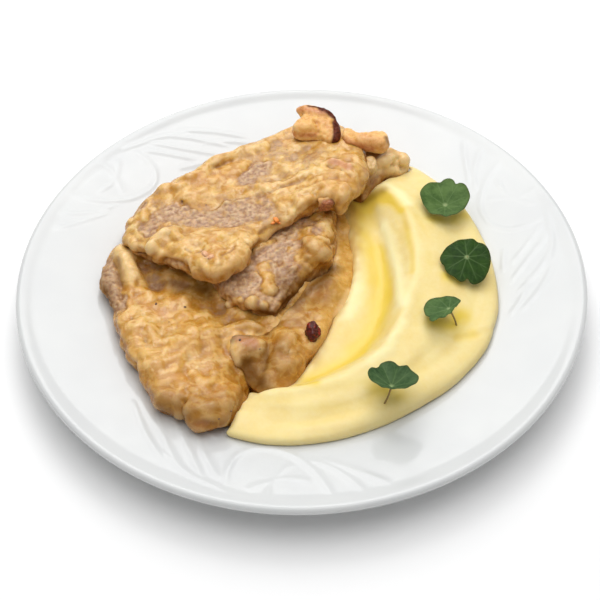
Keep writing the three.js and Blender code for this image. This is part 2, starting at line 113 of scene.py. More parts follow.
# Large odd numbers that scramble a corner's whole numbers into a random one of 32 bits.
HASH_FACTORS = np.array([374761393, 668265263, 951274213])
HASH_SEED = 144665
HASH_STIR = 1274126177
HASH_MASK = 0xFFFFFFFF
NOISE_GAIN = 1.7


def smoothstep(low, high, value):
    t = np.clip((value - low) / (high - low), 0, 1)
    return t * t * (3 - 2 * t)


def part_of(value, full):
    """The value's share of a full one, kept between 0 and 1."""
    return np.clip(value / full, 0, 1)


def corner_directions(corner, seed):
    """A random unit vector for each whole-number corner of a lattice."""
    mixed = (corner @ HASH_FACTORS + seed * HASH_SEED) & HASH_MASK
    mixed = ((mixed ^ (mixed >> 13)) * HASH_STIR) & HASH_MASK
    mixed = mixed ^ (mixed >> 16)
    height = (mixed & 0xFFFF) / 32767.5 - 1
    turn = ((mixed >> 16) & 0xFFFF) / 65535 * 2 * np.pi
    flat = np.sqrt(np.maximum(1 - height * height, 0))
    return np.stack([flat * np.cos(turn), flat * np.sin(turn), height], 1)


def noise(points, size, seed):
    """A smooth random field from about -1 to 1 with features of that size."""
    scaled = points / size
    cell = np.floor(scaled).astype(np.int64)
    inside = scaled - cell
    fade = inside ** 3 * (inside * (inside * 6 - 15) + 10)
    total = np.zeros(len(points))
    for step in np.ndindex(2, 2, 2):
        step = np.array(step)
        slope = corner_directions(cell + step, seed)
        weight = np.prod(np.where(step, fade, 1 - fade), axis=1)
        total += weight * np.sum((inside - step) * slope, axis=1)
    return total * NOISE_GAIN


def layered(points, size, seed, layers=3):
    """Noise with finer and fainter noise on top."""
    total = np.zeros(len(points))
    for layer in range(layers):
        total += noise(points, size / 2 ** layer, seed + layer) / 2 ** layer
    return total


def corner_numbers(corner, seed):
    """Three random numbers from 0 to 1 for each whole-number corner."""
    return np.stack([(corner_directions(corner, seed + k)[:, 2] + 1) / 2 for k in (101, 202, 303)], 1)


def blobs(points, size, seed, share=0.7):
    """Scattered round bumps of uneven width and height, from 0 to about 0.8 of their cell."""
    scaled = points / size
    cell = np.floor(scaled).astype(np.int64)
    height = np.zeros(len(points))
    for step in np.ndindex(3, 3, 3):
        corner = cell + np.array(step) - 1
        place = corner_numbers(corner, seed)
        kind = corner_numbers(corner, seed + 7)
        radius = 0.35 + 0.55 * kind[:, 0]
        near = 1 - np.sum((scaled - corner - place) ** 2, axis=1) / radius ** 2
        bump = np.where(kind[:, 1] < share, radius * np.clip(near, 0, 1) ** 1.3, 0)
        height = np.maximum(height, bump)
    return height


# ---------------------------------------------------------------- meshes

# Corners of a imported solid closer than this, in metres, are one. The others are in millimetres: how far
# in front of and behind a piece a pixel's ray is searched, and how long the rags of a ragged mark are.
WELD_DISTANCE = 1e-5
SEARCH_REACH = np.arange(-80, 81, 4)
RAGGED_SIZE = 5.5


class Skin:
    """A mesh with its points in millimetres, which can be smoothed, pushed and marked."""

    def __init__(self, mesh):
        self.mesh = mesh
        count = len(mesh.vertices)
        flat = np.empty(3 * count)
        mesh.vertices.foreach_get("co", flat)
        self.points = flat.reshape(-1, 3) / MM
        pairs = np.empty(2 * len(mesh.edges), np.int32)
        mesh.edges.foreach_get("vertices", pairs)
        self.pairs = pairs.reshape(-1, 2)
        self.degree = np.maximum(np.bincount(pairs, minlength=count), 1)

    def around(self, values):
        """The mean of each point's neighbours."""
        columns = values if values.ndim == 2 else values[:, None]
        first, second = self.pairs.T
        count = len(self.degree)
        sums = [
            np.bincount(first, column[second], count) + np.bincount(second, column[first], count)
            for column in columns.T
        ]
        mean = np.stack(sums, 1) / self.degree[:, None]
        return mean if values.ndim == 2 else mean[:, 0]

    def smoothed(self, values, rounds, share=0.5):
        for _ in range(rounds):
            values = values + share * (self.around(values) - values)
        return values

    def relax(self, rounds, share=0.5):
        self.points = self.smoothed(self.points, rounds, share)

    def store(self):
        self.mesh.vertices.foreach_set("co", (self.points * MM).ravel())
        self.mesh.update()

    def normals(self):
        self.store()
        flat = np.empty(3 * len(self.points))
        self.mesh.vertex_normals.foreach_get("vector", flat)
        return flat.reshape(-1, 3)

    def push(self, distance):
        """Moves each point outwards by its own distance."""
        self.points = self.points + self.normals() * distance[:, None]

    def mark(self, name, values, most=1.0):
        """Keeps a value from 0 to most at each point, for the material to read."""
        attribute = self.mesh.attributes.new(name, "FLOAT", "POINT")
        attribute.data.foreach_set("value", np.clip(values, 0, most).astype(np.float32))

    def bend(self, rounds):
        """How far each point stands out of its surroundings, in millimetres."""
        lift = self.points - self.smoothed(self.points, rounds)
        return np.sum(lift * self.normals(), axis=1)

    def tree(self):
        self.store()
        polygons = [tuple(polygon.vertices) for polygon in self.mesh.polygons]
        return BVHTree.FromPolygons([tuple(p) for p in self.points], polygons)


def remeshed(node, voxel):
    """A new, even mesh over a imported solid, with voxels of that size in millimetres."""
    edit = bmesh.new()
    edit.from_mesh(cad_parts[node].data)
    bmesh.ops.remove_doubles(edit, verts=edit.verts, dist=WELD_DISTANCE)
    welded = bpy.data.meshes.new(node + "_welded")
    edit.to_mesh(welded)
    edit.free()
    holder = add_object(node + "_holder", welded)
    modifier = holder.modifiers.new("remesh", "REMESH")
    modifier.mode = "VOXEL"
    modifier.voxel_size = voxel * MM
    graph = bpy.context.evaluated_depsgraph_get()
    made = bpy.data.meshes.new_from_object(holder.evaluated_get(graph))
    bpy.data.objects.remove(holder)
    bpy.data.meshes.remove(welded)
    made.materials.clear()
    return Skin(made)


def add_piece(name, mesh, material, slot, *replaced):
    """Puts a mesh into the scene as a piece of the dish."""
    piece = add_object(name, mesh)
    mesh.materials.append(material)
    mesh.polygons.foreach_set("use_smooth", np.ones(len(mesh.polygons), bool))
    mesh.update()
    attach(piece, BODY)
    if replaced:
        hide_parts(*replaced)


def mesh_from(name, points, faces):
    mesh = bpy.data.meshes.new(name)
    mesh.from_pydata([tuple(p) for p in np.asarray(points) * MM], [], faces)
    mesh.update()
    return mesh


def ring_faces(a, b, count):
    """The faces between two rings of points, which start at a and b."""
    return [(a + i, b + i, b + (i + 1) % count, a + (i + 1) % count) for i in range(count)]


def between(a, b, c, d, t):
    """The place at t from b to c on a smooth curve through a, b, c and d."""
    bend = (2 * a - 5 * b + 4 * c - d) * t ** 2 + (3 * b - 3 * c + d - a) * t ** 3
    return 0.5 * (2 * b + (c - a) * t + bend)


def curve_through(points, steps):
    """Points along a smooth curve through a few given ones."""
    points = np.asarray(points, float)
    padded = np.vstack([2 * points[0] - points[1], points, 2 * points[-1] - points[-2]])
    spans = [padded[i:i + 4] for i in range(len(points) - 1)]
    made = [between(*span, t) for span in spans for t in np.arange(steps) / steps]
    return np.array(made + [points[-1]])


def path_distance(points, path):
    """Each point's distance to a path, and how far along the path it is, from 0 to 1."""
    path = np.asarray(path, float)
    if len(path) == 1:
        return np.linalg.norm(points - path[0], axis=1), np.full(len(points), 0.5)
    best = np.full(len(points), np.inf)
    along = np.zeros(len(points))
    lengths = np.linalg.norm(np.diff(path, axis=0), axis=1)
    starts = np.concatenate([[0], np.cumsum(lengths)])
    for i, length in enumerate(lengths):
        step = path[i + 1] - path[i]
        t = np.clip((points - path[i]) @ step / max(length ** 2, 1e-9), 0, 1)
        distance = np.linalg.norm(points - path[i] - t[:, None] * step, axis=1)
        nearer = distance < best
        best = np.where(nearer, distance, best)
        along = np.where(nearer, (starts[i] + t * length) / starts[-1], along)
    return best, along


# A mark is a stroke on the food where the photo shows it: the pixels it runs through, its half width
# in millimetres and its amount.
Mark = namedtuple("Mark", "pixels width amount")


class Placer:
    """Finds where the photo's pixels lie on one piece."""

    def __init__(self, skin):
        self.tree = skin.tree()
        self.middle = skin.points.mean(axis=0)

    def point(self, pixel):
        direction = pixel_direction(pixel)
        hit = self.tree.ray_cast(Vector(CAMERA_PLACE), Vector(direction))[0]
        if hit is None:
            reach = np.dot(self.middle - CAMERA_PLACE, direction) + SEARCH_REACH
            near = [self.tree.find_nearest(Vector(CAMERA_PLACE + r * direction)) for r in reach]
            hit = min(near, key=lambda found: found[3])[0]
        return np.array(hit)

    def path(self, pixels):
        return np.array([self.point(pixel) for pixel in pixels])

    def field(self, points, marks, sharp=2, ragged=0.0):
        """The sum of all marks, each falling off across its width, which is uneven if ragged."""
        total = np.zeros(len(points))
        uneven = 1 + ragged * noise(points, RAGGED_SIZE, 77) if ragged and marks else 1
        for mark in marks:
            distance, _ = path_distance(points, self.path(mark.pixels))
            total += mark.amount * np.exp(-(distance / (mark.width * uneven)) ** sharp)
        return total


# ---------------------------------------------------------------- materials

class Shader:
    """A node material built step by step. A value is a number, a colour, a socket or the name of a mark."""

    def __init__(self, name):
        self.material = bpy.data.materials.new(name)
        self.material.use_nodes = True
        self.tree = self.material.node_tree
        self.tree.nodes.clear()
        self.surface = self.node("BsdfPrincipled")
        self.node("OutputMaterial", Surface=self.surface.outputs[0])
        self.place = self.node("TexCoord").outputs["Object"]

    def feed(self, socket, value):
        if isinstance(value, str):
            mark = self.node("Attribute")
            mark.attribute_name = value
            value = mark.outputs["Fac"]
        if isinstance(value, bpy.types.NodeSocket):
            self.tree.links.new(value, socket)
        elif socket.type == "RGBA":
            socket.default_value = (*value, 1)
        else:
            socket.default_value = value

    def fill(self, node, **values):
        for name, value in values.items():
            self.feed(node.inputs[name.replace("_", " ")], value)

    def node(self, kind, **values):
        node = self.tree.nodes.new("ShaderNode" + kind)
        self.fill(node, **values)
        return node

    def noise(self, size, detail=3, rough=0.55, distortion=0.0, place=None):
        """Noise with features of that size in millimetres, from 0 to 1."""
        node = self.node("TexNoise", Vector=place or self.place, Scale=1 / (size * MM))
        self.fill(node, Detail=detail, Roughness=rough, Distortion=distortion)
        return node.outputs["Fac"]

    def steps(self, value, low, high, out_low=0.0, out_high=1.0):
        """value from low to high becomes out_low to out_high, smoothly."""
        node = self.node("MapRange", Value=value, From_Min=low, From_Max=high)
        self.fill(node, To_Min=out_low, To_Max=out_high)
        node.interpolation_type = "SMOOTHSTEP"
        return node.outputs["Result"]

    def cloud(self, size, low, high, **how):
        """Patches of that size in millimetres, from 0 to 1."""
        return self.steps(self.noise(size, **how), low, high)

    def relief(self, size, depth, **how):
        """Fine bumps of that size and depth in millimetres."""
        height = self.noise(size, **how)
        return self.node("Bump", Strength=1, Distance=depth * MM, Height=height).outputs[0]

    def math(self, kind, a, b):
        node = self.node("Math")
        node.operation = kind
        self.feed(node.inputs[0], a)
        self.feed(node.inputs[1], b)
        return node.outputs[0]

    def times(self, a, b):
        return self.math("MULTIPLY", a, b)

    def outside(self, mark, level):
        """The level, fading to nothing where the mark is 1."""
        return self.times(self.math("SUBTRACT", 1.0, mark), level)

    def mix(self, share, a, b):
        node = self.node("Mix")
        node.data_type = "RGBA"
        self.feed(node.inputs["Factor"], share)
        self.feed(node.inputs[6], a)
        self.feed(node.inputs[7], b)
        return node.outputs[2]

    def tinted(self, color, *tints):
        """The colour with others over it, each given as where it lies, how strong it is and its colour."""
        for where, strength, other in tints:
            color = self.mix(self.times(where, strength), color, other)
        return color

    def finish(self, color, rough, relief=None, gloss=0.5, flesh=None):
        """Fills the surface. flesh is the weight, the reach and the depth of the light inside the food."""
        self.fill(self.surface, Base_Color=color, Roughness=rough, Specular_IOR_Level=gloss)
        if relief:
            self.fill(self.surface, Normal=relief)
        if flesh:
            weight, reach, depth = flesh
            self.fill(self.surface, Subsurface_Weight=weight, Subsurface_Radius=reach)
            self.fill(self.surface, Subsurface_Scale=depth * MM)
        return self.material


def porcelain_material():
    shader = Shader("porcelain")
    shader.fill(shader.surface, IOR=1.45)
    cloud = shader.cloud(30, 0.3, 0.7, detail=2)
    rough = shader.steps(shader.noise(12), 0.3, 0.7, 0.12, 0.18)
    color = shader.mix(cloud, (0.61, 0.62, 0.62), (0.63, 0.64, 0.635))
    return shader.finish(color, rough, shader.relief(9, 0.03, detail=1))


def meat_material():
    """Pork under sauce. The mesh's marks say how thick the sauce is, what stains it and where shade and
    light are painted on it.
    """
    shader = Shader("meat_in_sauce")
    marble = shader.cloud(8.5, 0.38, 0.62, rough=0.5, distortion=1.2)
    swirl = shader.cloud(5, 0.44, 0.64, rough=0.5, distortion=1.0)
    patch = shader.cloud(5, 0.36, 0.64, rough=0.5)
    fine = shader.cloud(2.6, 0.34, 0.68, rough=0.5)
    grain = shader.cloud(1.4, 0.38, 0.66, rough=0.6)
    mottle = shader.math("ADD", shader.times(grain, 0.15), shader.times(patch, 0.5))
    uneven = shader.math("ADD", "sauce", shader.math("SUBTRACT", mottle, 0.32))
    covered = shader.steps(uneven, 0.0, 0.62)
    thick = shader.steps(uneven, 0.42, 0.95)
    thin_sauce = shader.mix(fine, (0.45, 0.235, 0.06), (0.57, 0.33, 0.10))
    thick_sauce = shader.mix(marble, (0.52, 0.255, 0.032), (0.75, 0.455, 0.115))
    thick_sauce = shader.tinted(thick_sauce, (swirl, 0.75, (0.83, 0.59, 0.28)))
    amber = shader.mix(swirl, (0.50, 0.195, 0.012), (0.67, 0.335, 0.045))
    sauce = shader.tinted(shader.mix(thick, thin_sauce, thick_sauce), ("gold", 0.75, amber))
    mauve = shader.mix(fine, (0.31, 0.155, 0.08), (0.53, 0.315, 0.17))
    mauve = shader.tinted(mauve, (grain, 0.5, (0.68, 0.46, 0.26)))
    color = shader.tinted(
        shader.mix(covered, mauve, sauce),
        # steep sides darker amber: thinner sauce there, and painted shade
        ("steep_thin_and_shade", 0.8, shader.mix(swirl, (0.40, 0.148, 0.008), (0.56, 0.245, 0.024))),
        # painted shade: darker brown in the mesh's creases
        ("painted_crease_shade", 0.85, (0.25, 0.095, 0.015)),
        # painted highlight: paler cream on the mesh's peaks
        ("painted_peak_light", 0.6, (0.87, 0.66, 0.34)),
        ("pink", 0.7, (0.62, 0.27, 0.14)),
        ("film", 0.85, shader.mix(fine, (0.58, 0.29, 0.035), (0.72, 0.42, 0.10))),
        ("shade", 1, (0.11, 0.036, 0.004)),
        # pale sauce, partly painted light on slices in shadow and on lit lobes
        ("pale_and_lit_sauce", 1, (0.82, 0.58, 0.27)),
    )
    wet = shader.steps(shader.noise(4, detail=2), 0.35, 0.65, 0.16, 0.3)
    rough = shader.math("ADD", wet, shader.outside(covered, 0.15))
    relief = shader.relief(2.8, 0.3, detail=4, rough=0.6, distortion=0.6)
    gloss = shader.outside("shade", 0.42)
    return shader.finish(color, rough, relief, gloss, flesh=(0.2, (1.0, 0.4, 0.12), 1.5))


def puree_material():
    shader = Shader("puree")
    broad = shader.cloud(13, 0.32, 0.68)
    color = shader.tinted(
        shader.mix(broad, (0.80, 0.62, 0.235), (0.83, 0.68, 0.30)),
        (shader.cloud(1.8, 0.35, 0.65, detail=4, rough=0.6), 0.12, (0.88, 0.77, 0.45)),
        # painted highlight on peaks and painted shade, deeper yellow, in creases
        ("painted_peak_light", 0.5, (0.88, 0.77, 0.43)),
        ("painted_crease_shade", 0.5, (0.83, 0.63, 0.18)),
        # butter yellow, partly painted shade under the leaves and the crest
        ("butter_and_shade", 1, (0.79, 0.58, 0.085)),
        # pale cream, partly painted light on the ridges
        ("pale", 1, (0.94, 0.86, 0.49)),
        ("film", 1, (0.56, 0.31, 0.06)),
        ("shade", 1, (0.34, 0.20, 0.012)),
    )
    rough = shader.math("SUBTRACT", 0.5, shader.times("butter_and_shade", 0.2))
    relief = shader.relief(3.5, 0.12, rough=0.5)
    return shader.finish(color, rough, relief, gloss=0.35, flesh=(0.3, (1.0, 0.8, 0.3), 2.5))


def bacon_material():
    shader = Shader("bacon")
    fine = shader.cloud(1.8, 0.35, 0.65, detail=4, rough=0.6)
    color = shader.tinted(
        shader.mix(fine, (0.76, 0.385, 0.09), (0.83, 0.49, 0.155)),
        (shader.cloud(5, 0.38, 0.62), 0.5, (0.68, 0.33, 0.075)),
        # painted shade in creases and painted highlight on peaks
        ("painted_crease_shade", 0.75, (0.42, 0.14, 0.025)),
        ("painted_peak_light", 0.45, (0.90, 0.68, 0.36)),
        ("lean", 1, shader.mix(fine, (0.50, 0.17, 0.05), (0.66, 0.30, 0.12))),
        ("rind_and_shaded_side", 1, shader.mix(fine, (0.06, 0.012, 0.005), (0.16, 0.035, 0.014))),
    )
    rough = shader.steps(shader.noise(1.6), 0.3, 0.7, 0.2, 0.4)
    gloss = shader.outside(shader.times("rind_and_shaded_side", 0.8), 0.35)
    relief = shader.relief(1.4, 0.22, rough=0.6)
    return shader.finish(color, rough, relief, gloss, flesh=(0.2, (1.0, 0.4, 0.15), 1.4))


def ham_material():
    """Smoked ham, partly under sauce, with painted shade on one side and in its creases."""
    shader = Shader("ham")
    turn = (0, 0, math.radians(35))
    fibres = shader.node("Mapping", Vector=shader.place, Rotation=turn, Scale=(1, 3, 1)).outputs[0]
    streak = shader.cloud(1.3, 0.35, 0.65, detail=4, rough=0.6, place=fibres)
    color = shader.tinted(
        shader.mix(streak, (0.25, 0.07, 0.025), (0.44, 0.16, 0.06)),
        # painted shade: darker in creases
        ("painted_crease_shade", 0.7, (0.20, 0.06, 0.03)),
        ("lean", 1, (0.72, 0.43, 0.15)),
        # the rind mark here is painted shade on one side
        ("rind_and_shaded_side", 1, (0.10, 0.03, 0.014)),
    )
    relief = shader.relief(1.2, 0.3, detail=4)
    return shader.finish(color, 0.32, relief, gloss=0.3, flesh=(0.2, (1.0, 0.4, 0.2), 1.2))


def onion_material():
    shader = Shader("onion")
    tone = shader.mix(shader.cloud(2.5, 0.35, 0.65), (0.55, 0.34, 0.12), (0.70, 0.48, 0.21))
    # painted shade: darker in creases
    color = shader.tinted(tone, ("painted_crease_shade", 0.7, (0.45, 0.24, 0.09)))
    return shader.finish(color, 0.3, shader.relief(1.2, 0.15), flesh=(0.4, (1.0, 0.7, 0.4), 1.5))


def berry_material():
    shader = Shader("berry")
    tone = shader.mix(shader.cloud(1.8, 0.5, 0.68), (0.075, 0.007, 0.003), (0.30, 0.02, 0.006))
    # painted shade: darker in creases
    color = shader.tinted(tone, ("painted_crease_shade", 0.6, (0.018, 0.002, 0.002)))
    return shader.finish(color, 0.34, shader.relief(0.9, 0.2), gloss=0.3)


def leaf_material(name, dark, light):
    """A nasturtium leaf. The mesh's marks give its veins, its middle, its rim and its underside."""
    shader = Shader(name)
    color = shader.tinted(
        shader.mix(shader.cloud(7, 0.35, 0.65), dark, light),
        (shader.cloud(1.4, 0.35, 0.65, detail=4), 0.3, [1.3 * part for part in light]),
        ("vein", 0.3, (0.17, 0.26, 0.10)),
        ("rim", 0.4, (0.055, 0.065, 0.012)),
        ("heart", 0.75, (0.30, 0.38, 0.17)),
        ("under", 1, (0.16, 0.24, 0.10)),
    )
    return shader.finish(color, 0.5, shader.relief(1.6, 0.14), gloss=0.1)


def stem_material():
    shader = Shader("leaf_stem")
    color = shader.mix(shader.cloud(3, 0.35, 0.65, detail=2), (0.24, 0.17, 0.05), (0.30, 0.18, 0.05))
    return shader.finish(color, 0.45, shader.relief(0.5, 0.05, detail=2))


def speck_material(name, dark, light, rough=0.5):
    shader = Shader(name)
    color = shader.mix(shader.cloud(0.8, 0.35, 0.65), dark, light)
    return shader.finish(color, rough, shader.relief(0.4, 0.08, detail=2))


def floor_material():
    shader = Shader("floor")
    tone = shader.cloud(180, 0.35, 0.65, detail=2)
    return shader.finish(shader.mix(tone, (0.90, 0.90, 0.90), (0.905, 0.905, 0.905)), 0.7)


# ---------------------------------------------------------------- plate

PLATE_RADIUS = 140
WELL_HEIGHT = 6
WELL_RADIUS = 74
RIM_START = 102
RIM_HEIGHT = 13.7
RIM_SLOPE = 0.208
PLATE_WALL = 4.5
LIP_START = 130.5
LIP_RADIUS = 2.2
LIP_HEIGHT = 19.7
FOOT_RADIUS = 80.5
FOOT_WIDTH = 4
FOOT_RECESS = 2
PLATE_SEGMENTS = 800
WELL_STEP = 6.5
SLOPE_STEP = 1.6
RIM_STEP = 0.75

# The embossed motif, three times round the rim. Each stroke is a list of places in degrees round the
# plate's middle, from the motif's own middle, and millimetres from the plate's middle.
MOTIF_ANGLES = (-98.2, 21.8, 141.8)
RIDGE_HEIGHT = 0.36
RIDGE_WIDTH = 1.45
MOTIF = [
    [(-7, 131), (-8, 123), (-8, 116), (-7, 110), (-4, 105), (0, 104), (4, 106), (7, 110), (10, 117),
     (12, 126), (13, 134)],
    [(9, 123), (5, 121), (2, 122), (-1, 126), (-3, 130)],
    [(1, 135), (1, 126), (3, 118), (5, 112)],
    [(9, 110), (14, 116), (17, 124), (19, 133)],
    [(12, 110), (17, 117), (21, 124), (24, 131)],
    [(-5, 133), (-9, 131), (-14, 129), (-18, 126), (-23, 122)],
    [(-9, 127), (-14, 116), (-20, 105)],
    [(-12, 129), (-19, 114), (-27, 103)],
    [(-16, 129), (-23, 118), (-31, 106)],
    [(-20, 128), (-29, 118), (-38, 108)],
    [(-24, 114), (-32, 109), (-39, 104)],
    [(-13, 105), (-22, 101)],
]
SCALLOP_ANGLE = 2
SCALLOP_PLACE = 121
SCALLOP_RADIUS = 12
SCALLOP_DEPTH = 0.3


def plate_top(r):
    rim = RIM_HEIGHT + (r - RIM_START) * RIM_SLOPE
    t = np.clip((r - WELL_RADIUS) / (RIM_START - WELL_RADIUS), 0, 1)
    return WELL_HEIGHT + (rim - WELL_HEIGHT) * t ** 3 * (t * (6 * t - 15) + 10)


def plate_profile():
    """Radius and height from the middle on top, round the bead to the middle underneath."""
    well = np.arange(0.5, WELL_RADIUS, WELL_STEP)
    slope = np.arange(WELL_RADIUS, RIM_START, SLOPE_STEP)
    rim = np.arange(RIM_START - 3, LIP_START, RIM_STEP)
    rings = [(r, plate_top(r)) for r in sorted([*well, *slope, *rim])]
    lip_top = PLATE_RADIUS - LIP_RADIUS
    climb = LIP_HEIGHT + LIP_RADIUS - plate_top(lip_top)
    for share in np.arange(8) / 8:
        r = LIP_START + share * (lip_top - LIP_START)
        rings.append((r, plate_top(r) + climb * smoothstep(0, 1, share)))
    for angle in np.radians(np.arange(90, -91, -15)):
        rings.append((lip_top + LIP_RADIUS * math.cos(angle), LIP_HEIGHT + LIP_RADIUS * math.sin(angle)))
    foot_outer = FOOT_RADIUS + FOOT_WIDTH / 2
    foot_inner = FOOT_RADIUS - FOOT_WIDTH / 2
    rings += [(r, plate_top(r) - PLATE_WALL) for r in np.arange(134, foot_outer + 1.6, -3.2)]
    rings += [(foot_outer + 0.9, 0.8), (foot_outer, 0.25), (foot_outer - 0.5, 0), (foot_inner + 0.5, 0),
              (foot_inner, 0.25), (foot_inner - 0.6, 1.2), (foot_inner - 2, FOOT_RECESS)]
    rings += [(r, FOOT_RECESS) for r in np.arange(70, 1, -14)]
    return rings


def polar(angle, radius):
    return [radius * math.cos(math.radians(angle)), radius * math.sin(math.radians(angle)), 0]


def motif_relief(points):
    """Height of the embossed strokes at each place on the rim."""
    flat = points * (1, 1, 0)
    height = np.zeros(len(points))
    for middle in MOTIF_ANGLES:
        for stroke in MOTIF:
            path = curve_through([polar(middle + t, r) for t, r in stroke], 5)
            distance, along = path_distance(flat, path)
            fade = np.clip(np.minimum(along, 1 - along) * 6, 0, 1) ** 0.6
            ridge = RIDGE_HEIGHT * fade * np.exp(-(distance / RIDGE_WIDTH) ** 2)
            height = np.maximum(height, ridge)
        off_middle = np.linalg.norm(flat - polar(middle + SCALLOP_ANGLE, SCALLOP_PLACE), axis=1)
        height -= SCALLOP_DEPTH * smoothstep(SCALLOP_RADIUS, 0, off_middle)
    return height


def make_plate():
    rings = plate_profile()
    turn = np.arange(PLATE_SEGMENTS) * 2 * np.pi / PLATE_SEGMENTS
    points = np.concatenate([
        np.stack([r * np.cos(turn), r * np.sin(turn), np.full(PLATE_SEGMENTS, z)], 1) for r, z in rings])
    ring_of = np.repeat(np.arange(len(rings)), PLATE_SEGMENTS)
    radius = np.array([r for r, _ in rings])[ring_of]
    widest = int(np.argmax([r for r, _ in rings]))
    on_rim = (ring_of < widest) & (radius > RIM_START - 4) & (radius < PLATE_RADIUS - 3)
    points[on_rim, 2] += motif_relief(points[on_rim])
    middle_top = len(points)
    points = np.vstack([points, [0, 0, WELL_HEIGHT], [0, 0, FOOT_RECESS]])
    starts = range(0, middle_top, PLATE_SEGMENTS)
    faces = []
    for start, following in zip(starts, starts[1:]):
        faces += ring_faces(start, following, PLATE_SEGMENTS)
    for i in range(PLATE_SEGMENTS):
        j = (i + 1) % PLATE_SEGMENTS
        faces.append((middle_top, i, j))
        faces.append((middle_top + 1, starts[-1] + j, starts[-1] + i))
    mesh = mesh_from("dinner_plate", points, faces)
    add_piece("dinner_plate", mesh, porcelain_material(), "porcelain", "plate")


# ---------------------------------------------------------------- meat and sauce

MEAT_VOXEL = 0.6
# Sauce thicker than this many millimetres piles up less.
FULL_COAT = 1.2
GRAIN = np.array(Matrix.Rotation(math.radians(28), 3, "Z"))


def meat_relief(points, seed):
    """The cut face of pork: short fibres with pits and pebbles."""
    turned = points @ GRAIN
    fibres = noise(turned * (0.45, 1, 1), 2.2, seed)
    pebbles = 0.75 * blobs(points, 3, seed + 3) + 0.25 * noise(points, 1.8, seed + 4)
    return 0.35 * fibres + pebbles + 0.6 * noise(points, 6, seed + 5) - 0.3


def sauce_relief(points, seed):
    """Thick wet sauce: broad swells, folds along the slice, and soft lumps in some places."""
    busy = smoothstep(-0.2, 0.5, noise(points, 13, seed + 30))
    turned = points @ GRAIN
    folds = noise(turned * (0.55, 1, 1), 6.5, seed + 8)
    streaks = noise(turned * (0.4, 1, 1), 3.2, seed + 9)
    swells = 1.5 * noise(points, 15, seed) + 0.9 * noise(points, 8.5, seed + 1)
    lumps = blobs(points, 8, seed + 2, 0.5) + 0.4 * blobs(points, 4.2, seed + 5, 0.35)
    return swells + 0.75 * folds + busy * lumps + 0.2 * streaks - 0.3


def make_meat(name, node, seed, marks, coat, patchy, tone=0.35, curds=1.0, ruffle=1.0, flat=None,
              slot="meat_in_sauce"):
    """A slice with sauce on it.

    Of the marks, raised shapes the slice itself, thick adds sauce, bare takes it away and wrinkles fold
    it. Gold, pink and film are stains, shade is painted shade and cream is pale sauce, partly painted light.
    Creases and steep sides get painted shade, steep sides thinner sauce too, and peaks painted highlight.
    The coat is the sauce's thickness in millimetres and patchy its unevenness.
    """
    skin = remeshed(node, MEAT_VOXEL)
    skin.relax(6)
    skin.push(Placer(skin).field(skin.points, marks["raised"], 2, 0.3))
    if flat:
        skin.points = flat(skin.points)
    placer = Placer(skin)
    points = skin.points.copy()

    def field(kind, sharp=2, ragged=0.0):
        return placer.field(points, marks.get(kind, ()), sharp, ragged)

    side = smoothstep(0.85, 0.2, skin.smoothed(skin.normals()[:, 2], 6))
    amount = coat + patchy * layered(points, 13, seed, 2) + field("thick", 3, 0.45) + field("bare", 3, 0.45)
    covered = smoothstep(-0.4, 0.5, amount)
    layer = np.clip(amount, 0, FULL_COAT) + 0.8 * np.clip(amount - FULL_COAT, 0, None)
    lift = layer + (1 - covered) * meat_relief(points, seed) + covered * curds * sauce_relief(points, seed)
    ripples = 1.1 * blobs(points, 8, seed + 11, 0.5) + 1.2 * noise(points, 7, seed + 12) - 0.3
    lift += side * ruffle * ripples + field("wrinkles", 2, 0.3)
    skin.push(lift - 0.3)
    skin.relax(1, 0.35)
    fine = skin.bend(3)
    wide = skin.bend(16)
    upright = skin.smoothed(skin.normals()[:, 2], 8)
    skin.mark("sauce", 0.3 + amount / 1.6)
    # painted shade: how deep each point lies in a crease
    skin.mark("painted_crease_shade", 0.55 * part_of(-fine, 0.14) + 0.6 * part_of(-wide, 0.6))
    skin.mark("painted_peak_light", 0.35 * part_of(fine, 0.2) + 0.65 * part_of(wide, 0.7))
    # painted highlight: how far each point stands out on a peak
    skin.mark("steep_thin_and_shade", smoothstep(0.9, 0.25, upright))
    # steep sides: thinner sauce there, and painted shade
    skin.mark("gold", tone + 0.5 * layered(points, 9, seed + 20, 2) + field("gold"))
    skin.mark("pink", field("pink", 4, 0.4))
    skin.mark("shade", field("shade", 2, 0.3), 0.9)
    skin.mark("film", field("film", 3, 0.3))
    # pale sauce, partly painted light
    skin.mark("pale_and_lit_sauce", field("pale_and_lit_sauce", 3))
    skin.store()
    add_piece(name, skin.mesh, MEAT, slot, node)
    return skin


